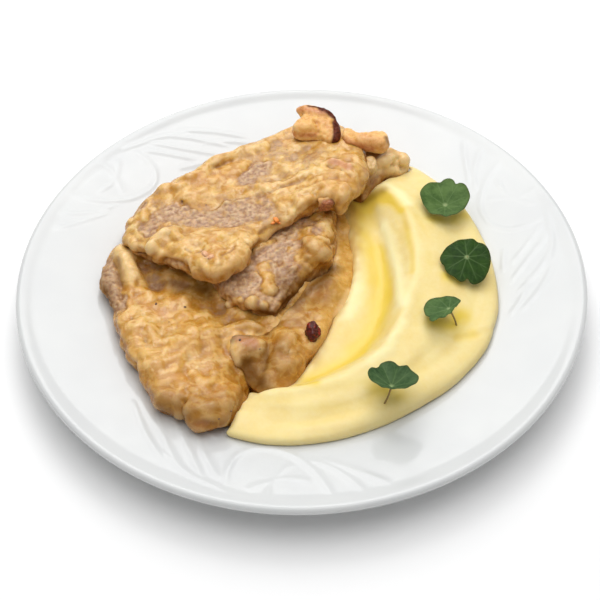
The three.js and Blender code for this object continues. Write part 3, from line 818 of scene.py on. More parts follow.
UPPER_MARKS = {
    "raised": [
        Mark([(200, 262), (216, 268), (232, 262), (242, 250)], 6, 1.2),
        Mark([(166, 263), (176, 266), (186, 268)], 3, 1.2), Mark([(158, 262), (164, 266)], 2, -1.6),
        Mark([(138, 252), (146, 256)], 3, -2), Mark([(154, 252), (157, 262)], 3.2, 1.8),
        Mark([(330, 185), (345, 170)], 10, 1.5), Mark([(182, 201)], 1.6, -1.2),
        Mark([(157, 190), (143, 203)], 5, 1.4), Mark([(226, 157), (218, 162)], 4, 2.2),
        Mark([(332, 160), (341, 162), (349, 168)], 2.1, 1.3), Mark([(340, 196), (342, 206)], 2.6, 1.4),
        Mark([(319, 195), (333, 196)], 2.4, 1.4),
    ],
    "thick": [
        Mark([(127, 240), (134, 246), (142, 249), (149, 252)], 3, 2.4), Mark([(154, 248), (158, 258)], 3, 2),
        Mark([(155, 241), (165, 234), (175, 230), (178, 238)], 2.6, 2.2),
        Mark([(185, 243), (205, 240), (222, 245)], 9, 0.9),
        Mark([(190, 268), (200, 275), (214, 277), (228, 271), (240, 262), (247, 250)], 4.2, 2.4),
        Mark([(249, 243), (262, 239), (271, 232), (282, 225), (291, 215), (300, 207), (312, 199)], 2.3, 2.4),
        Mark([(145, 212), (145, 219)], 2, 1.8), Mark([(130, 222)], 1.5, 2),
        Mark([(178, 188), (192, 178), (204, 171), (224, 156), (244, 149), (263, 147)], 3.2, 1.8),
        Mark([(185, 190), (215, 178), (236, 168)], 6, 0.9), Mark([(189, 181)], 2.2, 1.4),
        Mark([(262, 187), (270, 184), (277, 183)], 2.4, 1.6),
        Mark([(268, 190), (279, 184), (292, 181), (302, 174), (313, 170)], 2, 1),
        Mark([(325, 175), (350, 185), (340, 198)], 9, 1.2), Mark([(300, 197), (316, 190)], 4, 1),
        Mark([(206, 192), (224, 194), (242, 192)], 5, 0.35),
        Mark([(199, 256), (212, 250), (230, 254)], 4, 0.8),
        Mark([(338, 152), (352, 158), (358, 172)], 4, 1.2), Mark([(345, 188), (338, 206)], 2.6, 1.6),
    ],
    "bare": [
        Mark([(150, 226), (156, 218), (172, 214), (190, 216)], 5.5, -1.6),
        Mark([(190, 216), (212, 221), (228, 221)], 5.5, -1.5),
        Mark([(228, 212), (248, 212), (266, 208)], 5, -1.5),
        Mark([(246, 178), (254, 170), (264, 166)], 4.5, -1.6), Mark([(135, 213), (141, 205)], 3, -1.8),
        Mark([(146, 230), (152, 233)], 3, -1.2), Mark([(142, 254), (146, 257)], 2.5, -2.5),
        Mark([(166, 264), (176, 267), (187, 269)], 2.8, -3.6), Mark([(280, 150), (296, 160)], 7, -0.5),
        Mark([(228, 203), (262, 196)], 3, -0.8), Mark([(318, 213), (331, 213)], 2.2, -3),
    ],
    "wrinkles": [
        Mark([(186, 250), (194, 254), (203, 250)], 1.2, -0.8),
        Mark([(222, 255), (232, 250), (240, 244)], 1.2, -0.8),
        Mark([(249, 250), (262, 243), (274, 236), (285, 229)], 1, -0.7),
        Mark([(270, 193), (283, 187), (296, 183), (310, 175)], 1.4, -0.6),
        Mark([(306, 186), (322, 180), (336, 178)], 1.4, -0.6),
        Mark([(328, 165), (340, 169), (350, 177)], 1.4, -0.9),
    ],
    "gold": [
        Mark([(185, 186), (205, 178), (235, 168)], 7, 0.5), Mark([(224, 182)], 4, 0.4),
        Mark([(340, 185), (325, 195)], 8, 0.45), Mark([(205, 276), (230, 270)], 5, 0.35),
        Mark([(189, 181)], 3, 0.5), Mark([(280, 155), (298, 162)], 9, -0.6),
        Mark([(130, 243), (145, 249)], 4, -0.4), Mark([(175, 232)], 5, -0.4),
        Mark([(262, 238), (285, 222)], 4, -0.4),
    ],
    "pink": [
        Mark([(203, 253), (212, 257)], 1.7, 0.8), Mark([(332, 160), (341, 162), (348, 168)], 2.1, 1.1),
    ],
    "shade": [
        Mark([(166, 276), (180, 280), (194, 282), (206, 284)], 2.2, 0.8),
        Mark([(334, 205), (337, 209)], 1.5, 0.6),
    ],
}


def make_upper():
    return make_meat("schnitzel_top_slice", "schnitzel_upper", 5, UPPER_MARKS, coat=0.7, patchy=0.5)


LOWER_MARKS = {
    "raised": [
        Mark([(122, 252), (128, 262), (132, 278)], 4.5, 1.6),
        Mark([(142, 262), (146, 280), (156, 290)], 5, -1),
        Mark([(160, 282), (190, 288), (215, 300)], 6, -1.2), Mark([(204, 310), (222, 322)], 6, -1.6),
        Mark([(170, 404)], 8, 1.4), Mark([(208, 410)], 9, 1.8), Mark([(226, 398)], 7, 0.8),
        Mark([(184, 404), (184, 416), (184, 426)], 2.2, -3), Mark([(136, 366), (138, 373)], 3, -3),
        Mark([(180, 350), (200, 362), (215, 380)], 10, 1), Mark([(130, 330), (140, 350)], 8, 0.8),
        Mark([(101, 270), (103, 288)], 5, 0.8),
    ],
    "thick": [
        Mark([(118, 252), (126, 260), (131, 272), (131, 282)], 3.4, 1.8),
        Mark([(196, 386), (206, 383)], 3.5, 1),
        Mark([(222, 334), (232, 327), (248, 325), (258, 329)], 2.6, 1.6),
        Mark([(150, 300), (165, 297), (180, 300)], 5, 0.8),
        Mark([(134, 324), (148, 330), (158, 342)], 3.4, 1.2), Mark([(138, 344), (146, 354)], 3, 1),
        Mark([(168, 340), (184, 344)], 3, 0.8), Mark([(196, 330), (212, 338)], 3.5, 0.8),
        Mark([(150, 388), (166, 396), (176, 392)], 4, 0.9),
        Mark([(192, 402), (208, 396), (224, 404)], 4, 0.8),
        Mark([(123, 296), (134, 290), (146, 292)], 2.4, 0.9),
        Mark([(206, 366), (222, 372), (234, 366)], 4, 0.8), Mark([(182, 318), (200, 314)], 3, 0.7),
    ],
    "bare": [
        Mark([(102, 268), (104, 284), (112, 300)], 6.5, -3.6), Mark([(118, 302), (116, 312)], 4, -2),
        Mark([(148, 268), (156, 284)], 6, -1.3), Mark([(205, 300), (224, 320), (240, 326)], 5, -0.9),
        Mark([(158, 312), (176, 316)], 4, -0.7), Mark([(220, 350), (232, 362)], 4, -0.7),
    ],
    "wrinkles": [
        Mark([(132, 320), (142, 330), (146, 340)], 2.2, -0.8),
        Mark([(190, 312), (200, 326), (204, 340)], 2.5, -0.7),
        Mark([(188, 356), (184, 368), (190, 380)], 2.5, -0.8),
        Mark([(224, 344), (230, 356), (236, 372)], 2.5, -0.8),
        Mark([(152, 384), (172, 388), (186, 398)], 2.2, -0.9),
        Mark([(118, 262), (121, 280), (120, 296)], 1.8, -1.4),
    ],
    "gold": [
        Mark([(190, 418), (222, 420)], 12, 0.8), Mark([(165, 395)], 9, 0.6),
        Mark([(200, 384), (226, 392)], 12, 0.5), Mark([(150, 315), (165, 330)], 10, -0.5),
        Mark([(190, 360)], 9, -0.3), Mark([(118, 252), (126, 262), (130, 276)], 5, -1),
        Mark([(236, 380), (240, 400)], 7, 0.5),
    ],
    "pink": [Mark([(146, 306), (160, 314)], 4, 0.35), Mark([(196, 425), (204, 423)], 2.4, 0.4)],
    # the cream mark is pale sauce on the left lobe, partly painted light on its lit side
    "pale_and_lit_sauce": [Mark([(118, 253), (126, 262), (130, 276)], 4, 0.45)],
    "shade": [
        Mark([(172, 282), (190, 287), (208, 293)], 3, 0.5),
        Mark([(101, 266), (103, 284), (110, 302)], 6, 0.38), Mark([(106, 292), (110, 304)], 3.5, 0.2),
        Mark([(118, 262), (121, 282)], 1.6, 0.4), Mark([(160, 284), (185, 292), (212, 306)], 6, 0.35),
        Mark([(150, 266), (152, 276)], 5, 0.3), Mark([(222, 318), (255, 322)], 5, 0.35),
        Mark([(236, 372), (244, 392), (238, 408)], 4, 0.3),
        Mark([(178, 414), (200, 408), (222, 411)], 11, 0.42), Mark([(150, 384), (166, 398)], 6, 0.2),
        Mark([(212, 346), (224, 366)], 8, 0.12),
    ],
}


def make_lower():
    return make_meat(
        "schnitzel_front_slice", "schnitzel_lower", 17, LOWER_MARKS, coat=1.25, patchy=0.45, tone=0.75,
    )


MIDDLE_MARKS = {
    "raised": [
        Mark([(315, 248)], 5, 1.5), Mark([(325, 257)], 4, 1.5), Mark([(328, 241)], 3.5, 1.3),
        Mark([(322, 225)], 4, 1.8), Mark([(334, 216), (335, 232), (335, 246)], 4, 1),
        Mark([(300, 262), (304, 275)], 4, -1.5), Mark([(280, 262), (286, 280)], 4, -1),
        Mark([(254, 250)], 2, 1.2), Mark([(304, 242)], 2.5, 1.2), Mark([(228, 308)], 1.6, 1.2),
        Mark([(246, 305), (262, 304)], 2.4, 1),
    ],
    "thick": [
        Mark([(265, 266), (267, 275), (268, 284), (272, 290)], 4.2, 1.9),
        Mark([(296, 262), (302, 272)], 5, 1.2), Mark([(228, 307)], 2.2, 1.2), Mark([(251, 303)], 3.4, 1.5),
        Mark([(265, 305)], 2.8, 1.3), Mark([(312, 243), (318, 250)], 4.5, 1.6),
        Mark([(327, 254), (318, 264)], 4, 1.5), Mark([(328, 240)], 3, 1.3), Mark([(307, 262)], 2.6, 1.1),
        Mark([(318, 214), (330, 222), (332, 236)], 4.5, 1.6), Mark([(240, 300)], 2.2, 0.9),
        Mark([(248, 262)], 2.6, 1), Mark([(252, 250), (262, 244), (274, 240)], 2.4, 1.2),
        Mark([(298, 236), (306, 230)], 3, 1.2),
    ],
    "bare": [
        Mark([(216, 276), (236, 282), (250, 280)], 9, -1),
        Mark([(262, 256), (282, 240), (296, 232)], 5, -0.8),
        Mark([(276, 300), (284, 280), (290, 266)], 6, -1.2),
    ],
    "wrinkles": [
        Mark([(279, 262), (277, 296)], 1.6, -0.6), Mark([(306, 262), (316, 268), (326, 264)], 1.6, -1),
        Mark([(312, 232), (324, 238), (334, 240)], 1.4, -0.9),
    ],
    "gold": [Mark([(268, 276)], 8, 0.6), Mark([(315, 252)], 10, 1)],
    "pink": [Mark([(290, 262), (296, 266)], 3, 0.25)],
    "shade": [
        Mark([(262, 312), (272, 315), (282, 318), (290, 306)], 3.5, 0.85),
        Mark([(288, 300), (300, 290), (316, 278), (330, 270)], 3.5, 0.55),
        Mark([(286, 286), (296, 278), (302, 284)], 7, 0.55), Mark([(312, 256), (324, 250)], 6, 0.2),
    ],
}


def make_middle():
    make_meat("schnitzel_middle_slice", "schnitzel_middle", 29, MIDDLE_MARKS, coat=-0.1, patchy=0.6)


END_MARKS = {
    "raised": [
        Mark([(370, 153), (384, 152)], 3.5, 1.8), Mark([(388, 166)], 4, 0.8),
        Mark([(391, 164), (394, 166)], 1.6, -2.2), Mark([(399, 160), (401, 168)], 1.6, -1.8),
        Mark([(404, 162)], 3, 1.2), Mark([(384, 162)], 3, 1), Mark([(408, 170)], 3, 1),
    ],
    "thick": [
        Mark([(380, 165), (390, 159)], 2.4, 2), Mark([(393, 170), (398, 172)], 2.6, 1.6),
        Mark([(402, 161), (408, 164)], 2.6, 1.6),
    ],
    "bare": [Mark([(368, 178), (380, 170)], 3.5, -1.6), Mark([(388, 156), (396, 157)], 2.5, -0.8)],
    "gold": [Mark([(395, 176), (405, 172)], 4, 0.6)],
    # the cream marks are painted light, which lightens the slice where it lies in the bacon's shadow
    "pale_and_lit_sauce": [
        Mark([(376, 168), (390, 158)], 4.4, 0.8), Mark([(393, 170), (398, 172)], 5, 0.75),
        Mark([(402, 161), (408, 164)], 5, 0.8),
    ],
    "shade": [
        Mark([(368, 153), (376, 153), (384, 156)], 2.4, 0.8),
        Mark([(364, 190), (372, 188), (380, 182)], 3, 0.3),
    ],
}


def make_end():
    make_meat(
        "schnitzel_rear_slice", "schnitzel_end", 41, END_MARKS, coat=0.9, patchy=0.4, tone=0.5, curds=1.4,
    )


# The sauce's right edge on the puree: pixels of the photo and heights in millimetres.
SAUCE_EDGE = [
    (346, 213, 16), (350, 232, 15.5), (353, 255, 15), (353, 275, 14.8), (350, 292, 14.5), (343, 306, 14.2),
    (333, 322, 13.6), (322, 343, 13.2),
]


def thin_edge(points):
    """Lets the sauce run out thinly over the puree on its right side."""
    path = np.array([on_level((x, y), z) for x, y, z in SAUCE_EDGE])
    flat = path * (1, 1, 0)
    distance, along = path_distance(points * (1, 1, 0), flat)
    lengths = np.concatenate([[0], np.cumsum(np.linalg.norm(np.diff(flat, axis=0), axis=1))])
    edge = np.interp(along, lengths / lengths[-1], path[:, 2])
    over = np.maximum(points[:, 2] - (edge - 1.3 + 0.42 * distance), 0)
    return np.stack([points[:, 0], points[:, 1], points[:, 2] - over * smoothstep(1.0, 0.7, along)], 1)


SAUCE_MARKS = {
    "raised": [
        Mark([(346, 214), (350, 240), (352, 262), (350, 290), (341, 305), (330, 324), (319, 344),
             (307, 365), (287, 385)], 2.5, 0.8),
        Mark([(340, 214), (340, 232), (339, 250), (336, 266)], 4, 1.4),
        Mark([(246, 340), (256, 346)], 6, 1.2), Mark([(286, 336), (290, 350)], 6, 1.6),
        Mark([(234, 336), (234, 350), (237, 364)], 4, 2.2),
        Mark([(266, 334), (269, 352), (266, 368)], 2.6, -1.4), Mark([(250, 366), (258, 374)], 4.5, -1.8),
        Mark([(264, 382), (270, 386)], 3, 1), Mark([(318, 292), (326, 286)], 3.5, 1.4),
        Mark([(334, 296)], 3, 1.2), Mark([(338, 276)], 3, 1), Mark([(298, 312)], 4.5, 0.8),
    ],
    "thick": [
        Mark([(278, 330), (290, 334), (298, 346)], 3, 0.9),
        Mark([(240, 334), (252, 336), (262, 344)], 3, 0.8), Mark([(280, 362), (292, 366)], 3.5, 0.7),
        Mark([(320, 288), (330, 284)], 3, 0.8), Mark([(340, 268)], 3, 0.6),
        Mark([(312, 314), (322, 316)], 3, 0.6),
    ],
    "wrinkles": [
        Mark([(268, 328), (276, 340), (274, 352)], 2, -0.7),
        Mark([(280, 352), (288, 357), (298, 354)], 1.8, -0.6),
    ],
    "gold": [
        Mark([(280, 345)], 18, 0.5), Mark([(280, 370), (294, 372)], 5, 0.9), Mark([(320, 300)], 12, 0.3),
    ],
    "pink": [
        Mark([(241, 339), (252, 344)], 3.2, 1), Mark([(276, 346)], 2.4, 0.3), Mark([(318, 294)], 6, 0.25),
    ],
    # the cream mark lightens the sauce along its edge
    "pale_and_lit_sauce": [Mark([(349, 292), (342, 306), (333, 320)], 2, 0.6)],
    "film": [
        Mark([(342, 214), (346, 240), (347, 262), (344, 282)], 5, 0.9),
        Mark([(341, 290), (332, 306), (322, 322), (314, 340)], 3.4, 0.8),
    ],
    "shade": [
        Mark([(246, 366), (252, 376), (262, 382)], 5, 0.85), Mark([(266, 346), (268, 366)], 2.5, 0.4),
        Mark([(289, 308), (303, 297), (318, 284), (332, 270)], 4, 0.75),
        Mark([(228, 316), (250, 318), (275, 322)], 4, 0.7),
        Mark([(296, 322), (312, 308), (330, 296)], 7, 0.28),
        Mark([(250, 350), (262, 360), (274, 352)], 7, 0.35),
        Mark([(284, 340), (290, 356), (284, 372)], 8, 0.2),
    ],
}


def make_sauce():
    return make_meat(
        "sauce_pool", "sauce", 53, SAUCE_MARKS, coat=1.4, patchy=0.25, tone=0.6, curds=0.8, ruffle=0.4,
        flat=thin_edge, slot="sauce",
    )


# ---------------------------------------------------------------- puree

PUREE_VOXEL = 0.75
CREST = [
    (383, 187), (389, 191), (396, 196), (404, 204), (410, 216), (417, 250), (416, 278), (402, 316),
    (387, 350), (370, 362), (340, 378), (312, 386), (266, 393),
]
PUREE_RIDGES = [
    Mark(CREST, 3, 0.7), Mark([(380, 212), (391, 245), (398, 276), (401, 300)], 4, 0.9),
    Mark([(406, 171), (412, 172)], 3, 0.8),
    Mark([(362, 258), (364, 285), (356, 312), (340, 334), (318, 354)], 4, 0.6),
    Mark([(394, 336), (373, 357), (345, 367), (318, 379)], 2, 0.5),
    Mark([(432, 300), (430, 330), (404, 366), (362, 394), (300, 410)], 4, 0.35),
    Mark([(452, 330), (470, 336), (488, 328)], 3, 0.4), Mark([(300, 428), (340, 424), (388, 408)], 3.5, 0.4),
    Mark([(351, 214), (355, 240), (357, 262), (355, 290), (347, 308), (335, 326), (325, 344), (313, 365),
         (293, 386)], 2.2, 0.6),
]
PUREE_GROOVES = [
    Mark([(372, 198), (378, 196), (386, 199), (394, 206), (400, 216), (405, 230)], 3, -0.6),
    Mark([(411, 244), (413, 262), (411, 280)], 2, -0.25),
    Mark([(370, 215), (380, 250), (385, 284), (381, 318), (364, 346), (334, 366), (292, 386)], 5, -0.55),
    Mark([(440, 340), (410, 372), (370, 396)], 2.2, -0.3),
    Mark([(456, 338), (476, 336), (496, 328)], 1.6, -0.6),
    Mark([(300, 424), (350, 412), (380, 402)], 2.2, -0.3),
]
# Butter yellow streaks, and painted shade: the golden shadows under the leaves and under the crest by the
# meat.
BUTTER_AND_SHADE = [
    Mark([(356, 208), (364, 232), (372, 255), (376, 282)], 7, 0.75),
    Mark([(378, 250), (386, 272), (388, 296)], 4.2, 0.7), Mark([(384, 300), (376, 325), (360, 348)], 6.5, 1),
    Mark([(358, 354), (334, 368), (310, 380)], 4.5, 0.9), Mark([(300, 385), (316, 384)], 2.5, 0.9),
    Mark([(384, 196), (392, 201), (400, 210)], 2.6, 1), Mark([(366, 203), (374, 199), (383, 198)], 5, 1),
    Mark([(356, 206), (372, 210)], 5, 0.5), Mark([(402, 212), (408, 232), (412, 254), (412, 272)], 1.8, 0.5),
    Mark([(434, 218), (450, 220), (464, 215)], 4, 0.95), Mark([(446, 276), (458, 281)], 3.5, 0.9),
    Mark([(436, 322), (452, 325), (462, 316)], 5, 1), Mark([(458, 338), (472, 334)], 3, 0.6),
    Mark([(376, 388), (396, 392)], 4.5, 0.8),
]
# Pale cream streaks on the ridges and the crest top, partly painted light.
PALE_AND_LIT = [
    Mark([(385, 228), (393, 250), (399, 276), (402, 304)], 3.6, 0.95),
    Mark([(378, 210), (384, 228)], 2.5, 0.4), Mark([(356, 262), (358, 290), (348, 316)], 4, 0.6),
    Mark([(386, 184), (398, 192), (408, 203)], 2.6, 0.8),
    Mark([(404, 322), (390, 348), (372, 362)], 2.4, 0.5),
]
SAUCE_FILM = [
    Mark([(353, 208), (353, 222), (354, 240), (354, 262), (352, 284)], 3.2, 0.6),
    Mark([(344, 304), (335, 322), (326, 343), (314, 363)], 1.8, 0.45),
]
PUREE_SHADE = [Mark([(364, 202), (371, 197), (377, 193), (383, 191)], 2.8, 0.7)]


def spread_on_plate(points):
    """Widens the outer foot, so that the puree lies on the plate without an overhang."""
    radius = np.hypot(points[:, 0], points[:, 1])
    above = points[:, 2] - plate_top(radius)
    foot = smoothstep(4.5, 0.0, above) * smoothstep(88, 96, radius)
    wider = 1 + 1.6 * foot / radius
    return np.stack([points[:, 0] * wider, points[:, 1] * wider, points[:, 2] - 0.25 * foot], 1)


def make_puree():
    skin = remeshed("puree", PUREE_VOXEL)
    skin.relax(30)
    skin.points = spread_on_plate(skin.points)
    placer = Placer(skin)
    points = skin.points.copy()
    radius = np.hypot(points[:, 0], points[:, 1])
    angle = np.arctan2(points[:, 1], points[:, 0])
    swept = np.stack([radius, angle * 12, points[:, 2] * 0.3], 1)
    lift = placer.field(points, PUREE_RIDGES + PUREE_GROOVES, 2, 0.15)
    lift += 0.2 * noise(swept, 5.5, 3) + 0.07 * noise(swept, 2.2, 4) + 0.4 * noise(points, 16, 6)
    skin.push(lift + 0.2)
    skin.relax(2)
    fine = skin.bend(6)
    wide = skin.bend(30)
    film = placer.field(points, SAUCE_FILM, 2, 0.5) * (1 + 0.7 * noise(points, 5, 9))
    # butter yellow, partly painted shade under the leaves and the crest
    skin.mark("butter_and_shade", placer.field(points, BUTTER_AND_SHADE) + 0.25 * noise(swept, 4.5, 8))
    # pale cream, partly painted light on the ridges
    skin.mark("pale", placer.field(points, PALE_AND_LIT, 2, 0.3))
    skin.mark("film", film, 0.95)
    skin.mark("shade", placer.field(points, PUREE_SHADE), 0.9)
    # painted shade in creases and painted highlight on peaks
    skin.mark("painted_crease_shade", 0.4 * part_of(-fine, 0.12) + 0.6 * part_of(-wide, 0.9))
    skin.mark("painted_peak_light", 0.4 * part_of(fine, 0.12) + 0.6 * part_of(wide, 0.9))
    skin.store()
    add_piece("potato_puree", skin.mesh, puree_material(), "puree", "puree")


# ---------------------------------------------------------------- bacon, ham and berry

CHUNK_VOXEL = 0.5
BERRY_VOXEL = 0.3


def make_chunk(name, node, material, slot, seed, raised=(), rind_and_shaded_side=(), lean=(), rough=0.35, soft=3,
               grow=0.3):
    """A small piece of food, with marks for what is raised, for its dark rind and for its lean meat.
    On the ham the rind mark is painted shade on one side; creases get painted shade, peaks painted
    highlight.
    """
    skin = remeshed(node, CHUNK_VOXEL)
    skin.relax(soft)
    placer = Placer(skin)
    points = skin.points.copy()
    lift = grow + placer.field(points, raised) + rough * layered(points, 4, seed, 2)
    lift += 0.8 * rough * blobs(points, 2, seed + 3)
    skin.push(lift)
    skin.relax(1, 0.3)
    fine = skin.bend(3)
    wide = skin.bend(10)
    # painted shade in creases and painted highlight on peaks
    skin.mark("painted_crease_shade", 0.5 * part_of(-fine, 0.1) + 0.5 * part_of(-wide, 0.4))
    skin.mark("painted_peak_light", 0.5 * part_of(fine, 0.12) + 0.5 * part_of(wide, 0.5))
    # the dark rind; on the ham, painted shade on one side
    skin.mark("rind_and_shaded_side", placer.field(points, rind_and_shaded_side, 4))
    skin.mark("lean", placer.field(points, lean, 3))
    skin.store()
    add_piece(name, skin.mesh, material, slot, node)


def make_bacon():
    material = bacon_material()
    make_chunk(
        "bacon_thick_slice", "bacon_slice", material, "bacon", 61,
        raised=[
            Mark([(298, 127), (310, 126)], 2.6, 1.3), Mark([(299, 107)], 2, 0.8),
            Mark([(302, 114), (314, 115), (326, 118)], 1.5, -0.9), Mark([(316, 122), (318, 132)], 1.4, -0.9),
            Mark([(326, 112), (333, 118)], 2, 0.8), Mark([(337, 124), (338, 140)], 1.6, 0.6),
        ],
        rind_and_shaded_side=[
            Mark([(300, 105), (310, 105.5), (320, 108)], 0.8, 1),
            Mark([(322, 109), (328, 112), (333, 117)], 2.3, 1.4),
            Mark([(333, 117), (338, 122), (340, 128)], 1.5, 1.2),
            Mark([(336, 124), (337, 130), (337, 136), (336, 142)], 2.2, 1.6),
        ],
        lean=[
            Mark([(300, 109), (312, 110), (324, 113)], 2, 0.95),
            Mark([(320, 121), (328, 125), (332, 132)], 2.5, 0.35),
            Mark([(294, 134), (305, 135), (315, 135)], 1.4, 0.8),
        ],
    )
    make_chunk(
        "bacon_small_bar", "bacon_bar", material, "bacon", 67, soft=1, grow=0.1,
        raised=[
            Mark([(346, 134)], 2.4, 0.8), Mark([(353, 131), (353, 138)], 1.5, -0.6),
            Mark([(360, 140), (366, 141)], 4, 0.9),
        ],
        rind_and_shaded_side=[Mark([(386, 138), (389, 147)], 1.4, 0.6)],
        lean=[
            Mark([(343, 144), (355, 147), (371, 149)], 2.2, 1),
            Mark([(362, 137), (376, 142), (384, 148)], 3, 0.45),
        ],
    )


def make_ham():
    make_chunk(
        "ham_bit_on_top", "ham_cube", ham_material(), "ham", 71, rough=0.9, soft=2, grow=-0.5,
        lean=[Mark([(318, 203), (322, 197), (331, 196)], 1.8, 0.9)],
        # painted shade on the ham's side away from the light
        rind_and_shaded_side=[Mark([(333, 199), (335, 208)], 2.0, 0.9)],
    )


def make_onion():
    make_chunk(
        "pale_onion_bit", "onion_piece", onion_material(), "onion", 73, rough=0.5, soft=1, grow=-0.2,
        raised=[Mark([(365, 163), (373, 165)], 1.2, -0.9)],
    )


def make_berry():
    skin = remeshed("red_berry", BERRY_VOXEL)
    skin.relax(2)
    points = skin.points.copy()
    wrinkles = 0.7 * noise(points, 3, 84) + 0.35 * noise(points, 1.3, 85)
    skin.push(0.9 * blobs(points, 1.9, 83) + wrinkles + 0.1)
    # painted shade in the wrinkles' creases
    skin.mark("painted_crease_shade", part_of(-skin.bend(4), 0.1))
    skin.store()
    add_piece("dark_red_berry", skin.mesh, berry_material(), "berry", "red_berry")


# Small things lying on a slice: the photo's pixel and the length in millimetres.
PEPPER = {
    "upper": [(182, 201, 1.3), (206, 205, 0.8), (287, 150, 0.8)],
    "lower": [(156, 304, 1.6), (185, 307, 1.4), (231, 411, 1.1), (219, 419, 1.0), (169, 322, 0.7)],
    "sauce": [(240, 340, 1.7), (260, 349, 0.8)],
}
CARROT = [(276, 220, 4.0), (273, 223, 2.4), (279, 223, 2.2)]
HAM_CRUMBS = [(205, 254, 4.0), (211, 257, 3.4)]


def bit_points(seed, length, sides=12):
    """A small uneven pebble round its own middle."""
    turn = np.arange(sides) * 2 * np.pi / sides
    rise = np.linspace(-np.pi / 2, np.pi / 2, 9)[1:-1]
    round_it = [(np.cos(r) * np.cos(t), np.cos(r) * np.sin(t), np.sin(r)) for r in rise for t in turn]
    points = np.array([(0, 0, -1), *round_it, (0, 0, 1)])
    points = points * (1 + 0.35 * noise(points * 3 + seed * 7.3, 2.4, seed))[:, None]
    faces = [(0, 1 + (k + 1) % sides, 1 + k) for k in range(sides)]
    for ring in range(len(rise) - 1):
        a = 1 + ring * sides
        faces += [(p, s, r, q) for p, q, r, s in ring_faces(a, a + sides, sides)]
    last = 1 + (len(rise) - 1) * sides
    faces += [(last + k, last + (k + 1) % sides, last + sides) for k in range(sides)]
    turned = np.array(Matrix.Rotation(seed * 1.9, 3, "Z"))
    return points * (0.5 * length, 0.34 * length, 0.2 * length) @ turned.T, faces


def scatter(name, material, slot, places):
    """One piece made of small pebbles. places holds skins with the pixels and lengths on each."""
    points = []
    faces = []
    seed = 0
    for skin, spots in places:
        placer = Placer(skin)
        for x, y, length in spots:
            seed += 1
            made, sides = bit_points(seed, length)
            faces += [tuple(len(points) + i for i in face) for face in sides]
            points += list(made + placer.point((x, y)) + (0, 0, 0.05 * length))
    add_piece(name, mesh_from(name, points, faces), material, slot)


def make_bits(upper, lower, sauce):
    pepper = speck_material("pepper", (0.07, 0.03, 0.015), (0.17, 0.08, 0.04))
    carrot = speck_material("carrot", (0.80, 0.20, 0.02), (0.88, 0.33, 0.06), 0.35)
    crumb = speck_material("ham_crumb", (0.70, 0.35, 0.18), (0.82, 0.50, 0.28), 0.4)
    scatter("pepper_specks", pepper, "sauce",
            [(upper, PEPPER["upper"]), (lower, PEPPER["lower"]), (sauce, PEPPER["sauce"])])
    scatter("carrot_bits", carrot, "sauce", [(upper, CARROT)])
    scatter("ham_crumbs", crumb, "ham", [(upper, HAM_CRUMBS)])


# ---------------------------------------------------------------- leaves

# A leaf: the blade's radius, its joint with the stem, the stem's foot, its tilt in degrees, how far it
# cups, its outline round the joint seen square on, and its dark and light green.
Leaf = namedtuple("Leaf", "radius joint foot tilt cup edge dark light")
LEAVES = [
    Leaf(12.3, (74.5, 34, 27.5), (75, 35, 23.2), (0, 0), 0.2, [
        (-11.8, 1.2), (-10.5, -2.9), (-8.7, -6.3), (-5.9, -8.5), (-3, -9.3), (-0.9, -10.8), (1.2, -10.4),
        (4.4, -8.6), (7.8, -5.8), (10.1, -2.9), (12, 0.5), (13, 4.4), (12.4, 8.8), (11.1, 12.9), (9, 14.4),
        (6.9, 13.9), (5.9, 16.7), (3.7, 18.1), (1.1, 17.5), (-0.9, 15.8), (-3.2, 15.9), (-6.4, 15.2),
        (-9.3, 12.7), (-11.4, 9.8), (-12.5, 6),
    ], (0.042, 0.09, 0.018), (0.085, 0.15, 0.038)),
    Leaf(12.4, (81, -4.4, 29.7), (82, -2, 22), (15, 0), -0.12, [
        (-12.5, -1.9), (-11.2, -3.6), (-10.7, -6.1), (-9.3, -8.7), (-6.5, -10.7), (-4.3, -12.7),
        (-2.3, -12.6), (-0.5, -11.4), (0.6, -13.3), (2.2, -14.2), (5, -13.3), (7.6, -11.5), (9.5, -8.4),
        (10.9, -5.2), (11.7, -1.5), (11.7, 2.2), (10.8, 5.7), (8.9, 8.4), (6.3, 9.4), (4.3, 11), (1.2, 11),
        (-2.3, 10.3), (-5.9, 8.7), (-9, 6.6), (-11.5, 3.6), (-12.8, 1),
    ], (0.013, 0.038, 0.005), (0.027, 0.068, 0.008)),
    Leaf(8.4, (68.8, -38.6, 31), (72.6, -40.1, 20.8), (-10, -12), 0.1, [
        (-11.8, 0.3), (-11.1, -3.4), (-9.7, -4.9), (-9.6, -7.2), (-8.5, -8.4), (-6.9, -7.8), (-5.4, -6.5),
        (-3.6, -6.3), (-2.2, -6.2), (-0.8, -4.5), (0.8, -3.8), (1.9, -2.5), (3.2, -0.4), (4.8, 2.1),
        (5.8, 4.3), (4.2, 5.9), (2.1, 7.4), (-0.3, 8), (-2.7, 8.2), (-5.3, 9), (-8.2, 8.5), (-10.5, 6.5),
        (-11.6, 3.6),
    ], (0.04, 0.09, 0.022), (0.075, 0.14, 0.038)),
    Leaf(11.7, (38.7, -82.6, 30), (35.2, -84.6, 19.4), (-13, 0), 0.42, [
        (-10.4, 3.5), (-10, 0.3), (-8.4, -2.2), (-6.1, -4.1), (-3.2, -5.8), (0, -7.4), (3.4, -7.9),
        (6.5, -6.7), (9.4, -4.2), (11.3, -1.6), (12, 1), (10.6, 3.5), (8.8, 5.8), (7.5, 7.8), (5.8, 7.8),
        (3.9, 8.2), (2.3, 10.7), (0.4, 12.1), (-2, 12.4), (-4.1, 11.3), (-5.2, 8.8), (-6.4, 7.7),
        (-8.2, 8.2), (-9.6, 6.8),
    ], (0.03, 0.07, 0.022), (0.06, 0.11, 0.04)),
]
LEAF_VEINS = 9
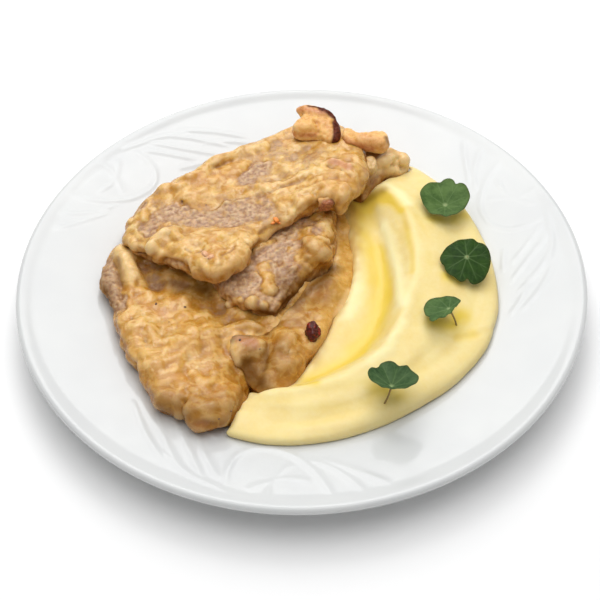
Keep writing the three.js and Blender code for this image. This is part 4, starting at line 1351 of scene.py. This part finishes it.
LEAF_THICKNESS = 0.5
LEAF_RINGS = 30
LEAF_PHASE = 1.7
VEIN_DEPTH = 0.12
FORK_WIDTH = 0.22
STEM_RADIUS = 0.42
STEM_SIDES = 10
STEM_DEPTH = 3


def leaf_place(leaf):
    turn_x = Matrix.Rotation(math.radians(leaf.tilt[0]), 4, "X")
    turn_y = Matrix.Rotation(math.radians(leaf.tilt[1]), 4, "Y")
    return Matrix.Translation(leaf.joint) @ turn_y @ turn_x


def closed_curve(points, steps=6):
    """A smooth closed curve through a few points."""
    spans = [np.roll(np.asarray(points, float), shift, axis=0) for shift in (1, 0, -1, -2)]
    made = [between(*spans, t) for t in np.arange(steps) / steps]
    return np.stack(made, 1).reshape(-1, 2)


def leaf_veins(angle, reach, share, phase):
    """How much of a vein is at each place of the blade, from 0 to 1."""
    turn = LEAF_VEINS * angle / (2 * np.pi) + 0.5 + phase / (2 * np.pi)
    spacing = 2 * np.pi / LEAF_VEINS * reach
    off_vein = np.abs(turn - np.round(turn)) * spacing
    vein = np.exp(-(off_vein / (0.34 - 0.16 * share)) ** 2) * smoothstep(1.0, 0.75, share)
    between_veins = np.abs(turn - np.floor(turn) - 0.5)
    fork = np.abs(between_veins - 0.5 + 0.34 * smoothstep(0.45, 1.0, share)) * spacing
    fork_fade = smoothstep(0.45, 0.6, share) * smoothstep(1, 0.85, share)
    return np.maximum(vein, 0.5 * np.exp(-(fork / FORK_WIDTH) ** 2) * fork_fade)


def blade_faces(steps, count):
    """The faces of the blade's upper side, its underside and its edge."""
    faces = []
    for start, order in ((0, 1), (count, -1)):
        rings = [start + 1 + k * steps for k in range(LEAF_RINGS)]
        side = [(start, rings[0] + i, rings[0] + (i + 1) % steps) for i in range(steps)]
        for a, b in zip(rings, rings[1:]):
            side += ring_faces(a, b, steps)
        faces += [face[::order] for face in side]
    outer = 1 + (LEAF_RINGS - 1) * steps
    return faces + ring_faces(outer, count + outer, steps)


def make_blade(leaf, number):
    phase = LEAF_PHASE * number
    edge = closed_curve(leaf.edge)
    share = (np.arange(1, LEAF_RINGS + 1) / LEAF_RINGS)[:, None]
    x = share * edge[:, 0]
    y = share * edge[:, 1]
    angle = np.arctan2(y, x)
    wave = 0.05 * share ** 2 * np.sin(3 * angle + phase)
    wave = wave + 0.02 * share ** 4 * np.cos(LEAF_VEINS * angle + phase)
    vein = leaf_veins(angle, np.hypot(x, y), share, phase)
    lift = leaf.radius * (leaf.cup * share + wave) - VEIN_DEPTH * vein
    grid = np.vstack([[0, 0, 0.0], np.stack([x, y, lift], -1).reshape(-1, 3)])
    flat_share = np.concatenate([[0.0], np.broadcast_to(share, x.shape).ravel()])
    offset = np.outer(LEAF_THICKNESS / 2 * (1 - 0.6 * flat_share ** 4), (0, 0, 1))
    points = np.vstack([grid + offset, grid - offset])
    place = np.array(leaf_place(leaf))
    points = points @ place[:3, :3].T + place[:3, 3]
    mesh = mesh_from(f"leaf_blade_{number + 1}", points, blade_faces(len(edge), len(grid)))
    skin = Skin(mesh)
    skin.mark("vein", np.tile(np.concatenate([[1.0], vein.ravel()]), 2))
    skin.mark("heart", np.tile(smoothstep(0.13, 0.04, flat_share), 2))
    skin.mark("rim", np.tile(smoothstep(0.88, 1.0, flat_share), 2))
    skin.mark("under", np.repeat([0.0, 1.0], len(grid)))
    material = leaf_material(f"leaf_green_{number + 1}", leaf.dark, leaf.light)
    add_piece(f"leaf_blade_{number + 1}", mesh, material, "leaf", f"leaf_{number + 1}")


def tube(path, radii, sides):
    """A closed tube along a path: points and faces."""
    path = np.asarray(path, float)
    points = []
    for i, place in enumerate(path):
        ahead = Vector(path[min(i + 1, len(path) - 1)] - path[max(i - 1, 0)]).normalized()
        across = ahead.cross(Vector((0, 1, 0.1))).normalized()
        upward = across.cross(ahead)
        for k in range(sides):
            a = 2 * math.pi * k / sides
            outward = math.cos(a) * across + math.sin(a) * upward
            points.append(Vector(place) + float(radii[i]) * outward)
    faces = []
    for start in range(0, len(points) - sides, sides):
        faces += [(p, s, r, q) for p, q, r, s in ring_faces(start, start + sides, sides)]
    faces.append(tuple(range(sides))[::-1])
    faces.append(tuple(range(len(points) - sides, len(points))))
    return points, faces


def make_stem(leaf, number, material):
    top = np.array(leaf.joint, float)
    foot = np.array(leaf.foot, float)
    down = (foot - top) / np.linalg.norm(foot - top)
    base = foot + down * STEM_DEPTH
    middle = (top + base) / 2 + (0.5, 0, 0)
    path = curve_through([top + (0, 0, 0.1), middle, base], 8)
    radii = STEM_RADIUS * (1 + 0.35 * np.exp(-np.arange(len(path)) / 2.0))
    points, faces = tube(path, radii, STEM_SIDES)
    mesh = mesh_from(f"leaf_stalk_{number + 1}", points, faces)
    add_piece(f"leaf_stalk_{number + 1}", mesh, material, "leaf")


def make_leaves():
    material = stem_material()
    for number, leaf in enumerate(LEAVES):
        make_blade(leaf, number)
        make_stem(leaf, number, material)


# ---------------------------------------------------------------- stage

FLOOR_SIZE = 6.0
SKY_STRENGTH = 0.42


def make_stage():
    mesh = bpy.data.meshes.new("floor")
    corners = [(-1, -1), (1, -1), (1, 1), (-1, 1)]
    mesh.from_pydata([(x * FLOOR_SIZE / 2, y * FLOOR_SIZE / 2, 0) for x, y in corners], [], [(0, 1, 2, 3)])
    mesh.materials.append(floor_material())
    floor = add_object("floor", mesh)


def add_light(name, place, target, size, watts):
    """A round softbox. Place, target and size are in metres."""
    data = bpy.data.lights.new(name, "AREA")
    data.shape = "DISK"
    data.size = size
    data.energy = watts
    light = add_object(name, data)
    light.location = place
    aim = Vector(target) - Vector(place)
    light.rotation_mode = "QUATERNION"
    light.rotation_quaternion = aim.to_track_quat("-Z", "Y")


def make_lights():
    world = bpy.data.worlds.new("studio")
    bpy.context.scene.world = world
    world.use_nodes = True
    background = world.node_tree.nodes["Background"]
    background.inputs["Color"].default_value = (1, 1, 1, 1)
    background.inputs["Strength"].default_value = SKY_STRENGTH
    add_light("softbox_above", (0.0, 0.1, 1.3), (0, 0, 0), 1.6, 12.8)
    add_light("key_behind", (-0.05, 0.75, 1.0), (0, 0, 0.02), 0.7, 4.4)
    add_light("backdrop", (0.0, 1.9, 0.55), (0, 0, 0.1), 1.8, 7.0)
    view = bpy.context.scene.view_settings
    view.view_transform = "Standard"
    view.look = "None"
    view.exposure = 0
    view.gamma = 1


# ---------------------------------------------------------------- assembly

make_camera()
MEAT = meat_material()
make_plate()
upper_skin = make_upper()
lower_skin = make_lower()
make_middle()
make_end()
sauce_skin = make_sauce()
make_bits(upper_skin, lower_skin, sauce_skin)
make_puree()
make_bacon()
make_ham()
make_onion()
make_berry()
make_leaves()
make_stage()
make_lights()

bpy.context.view_layer.update()
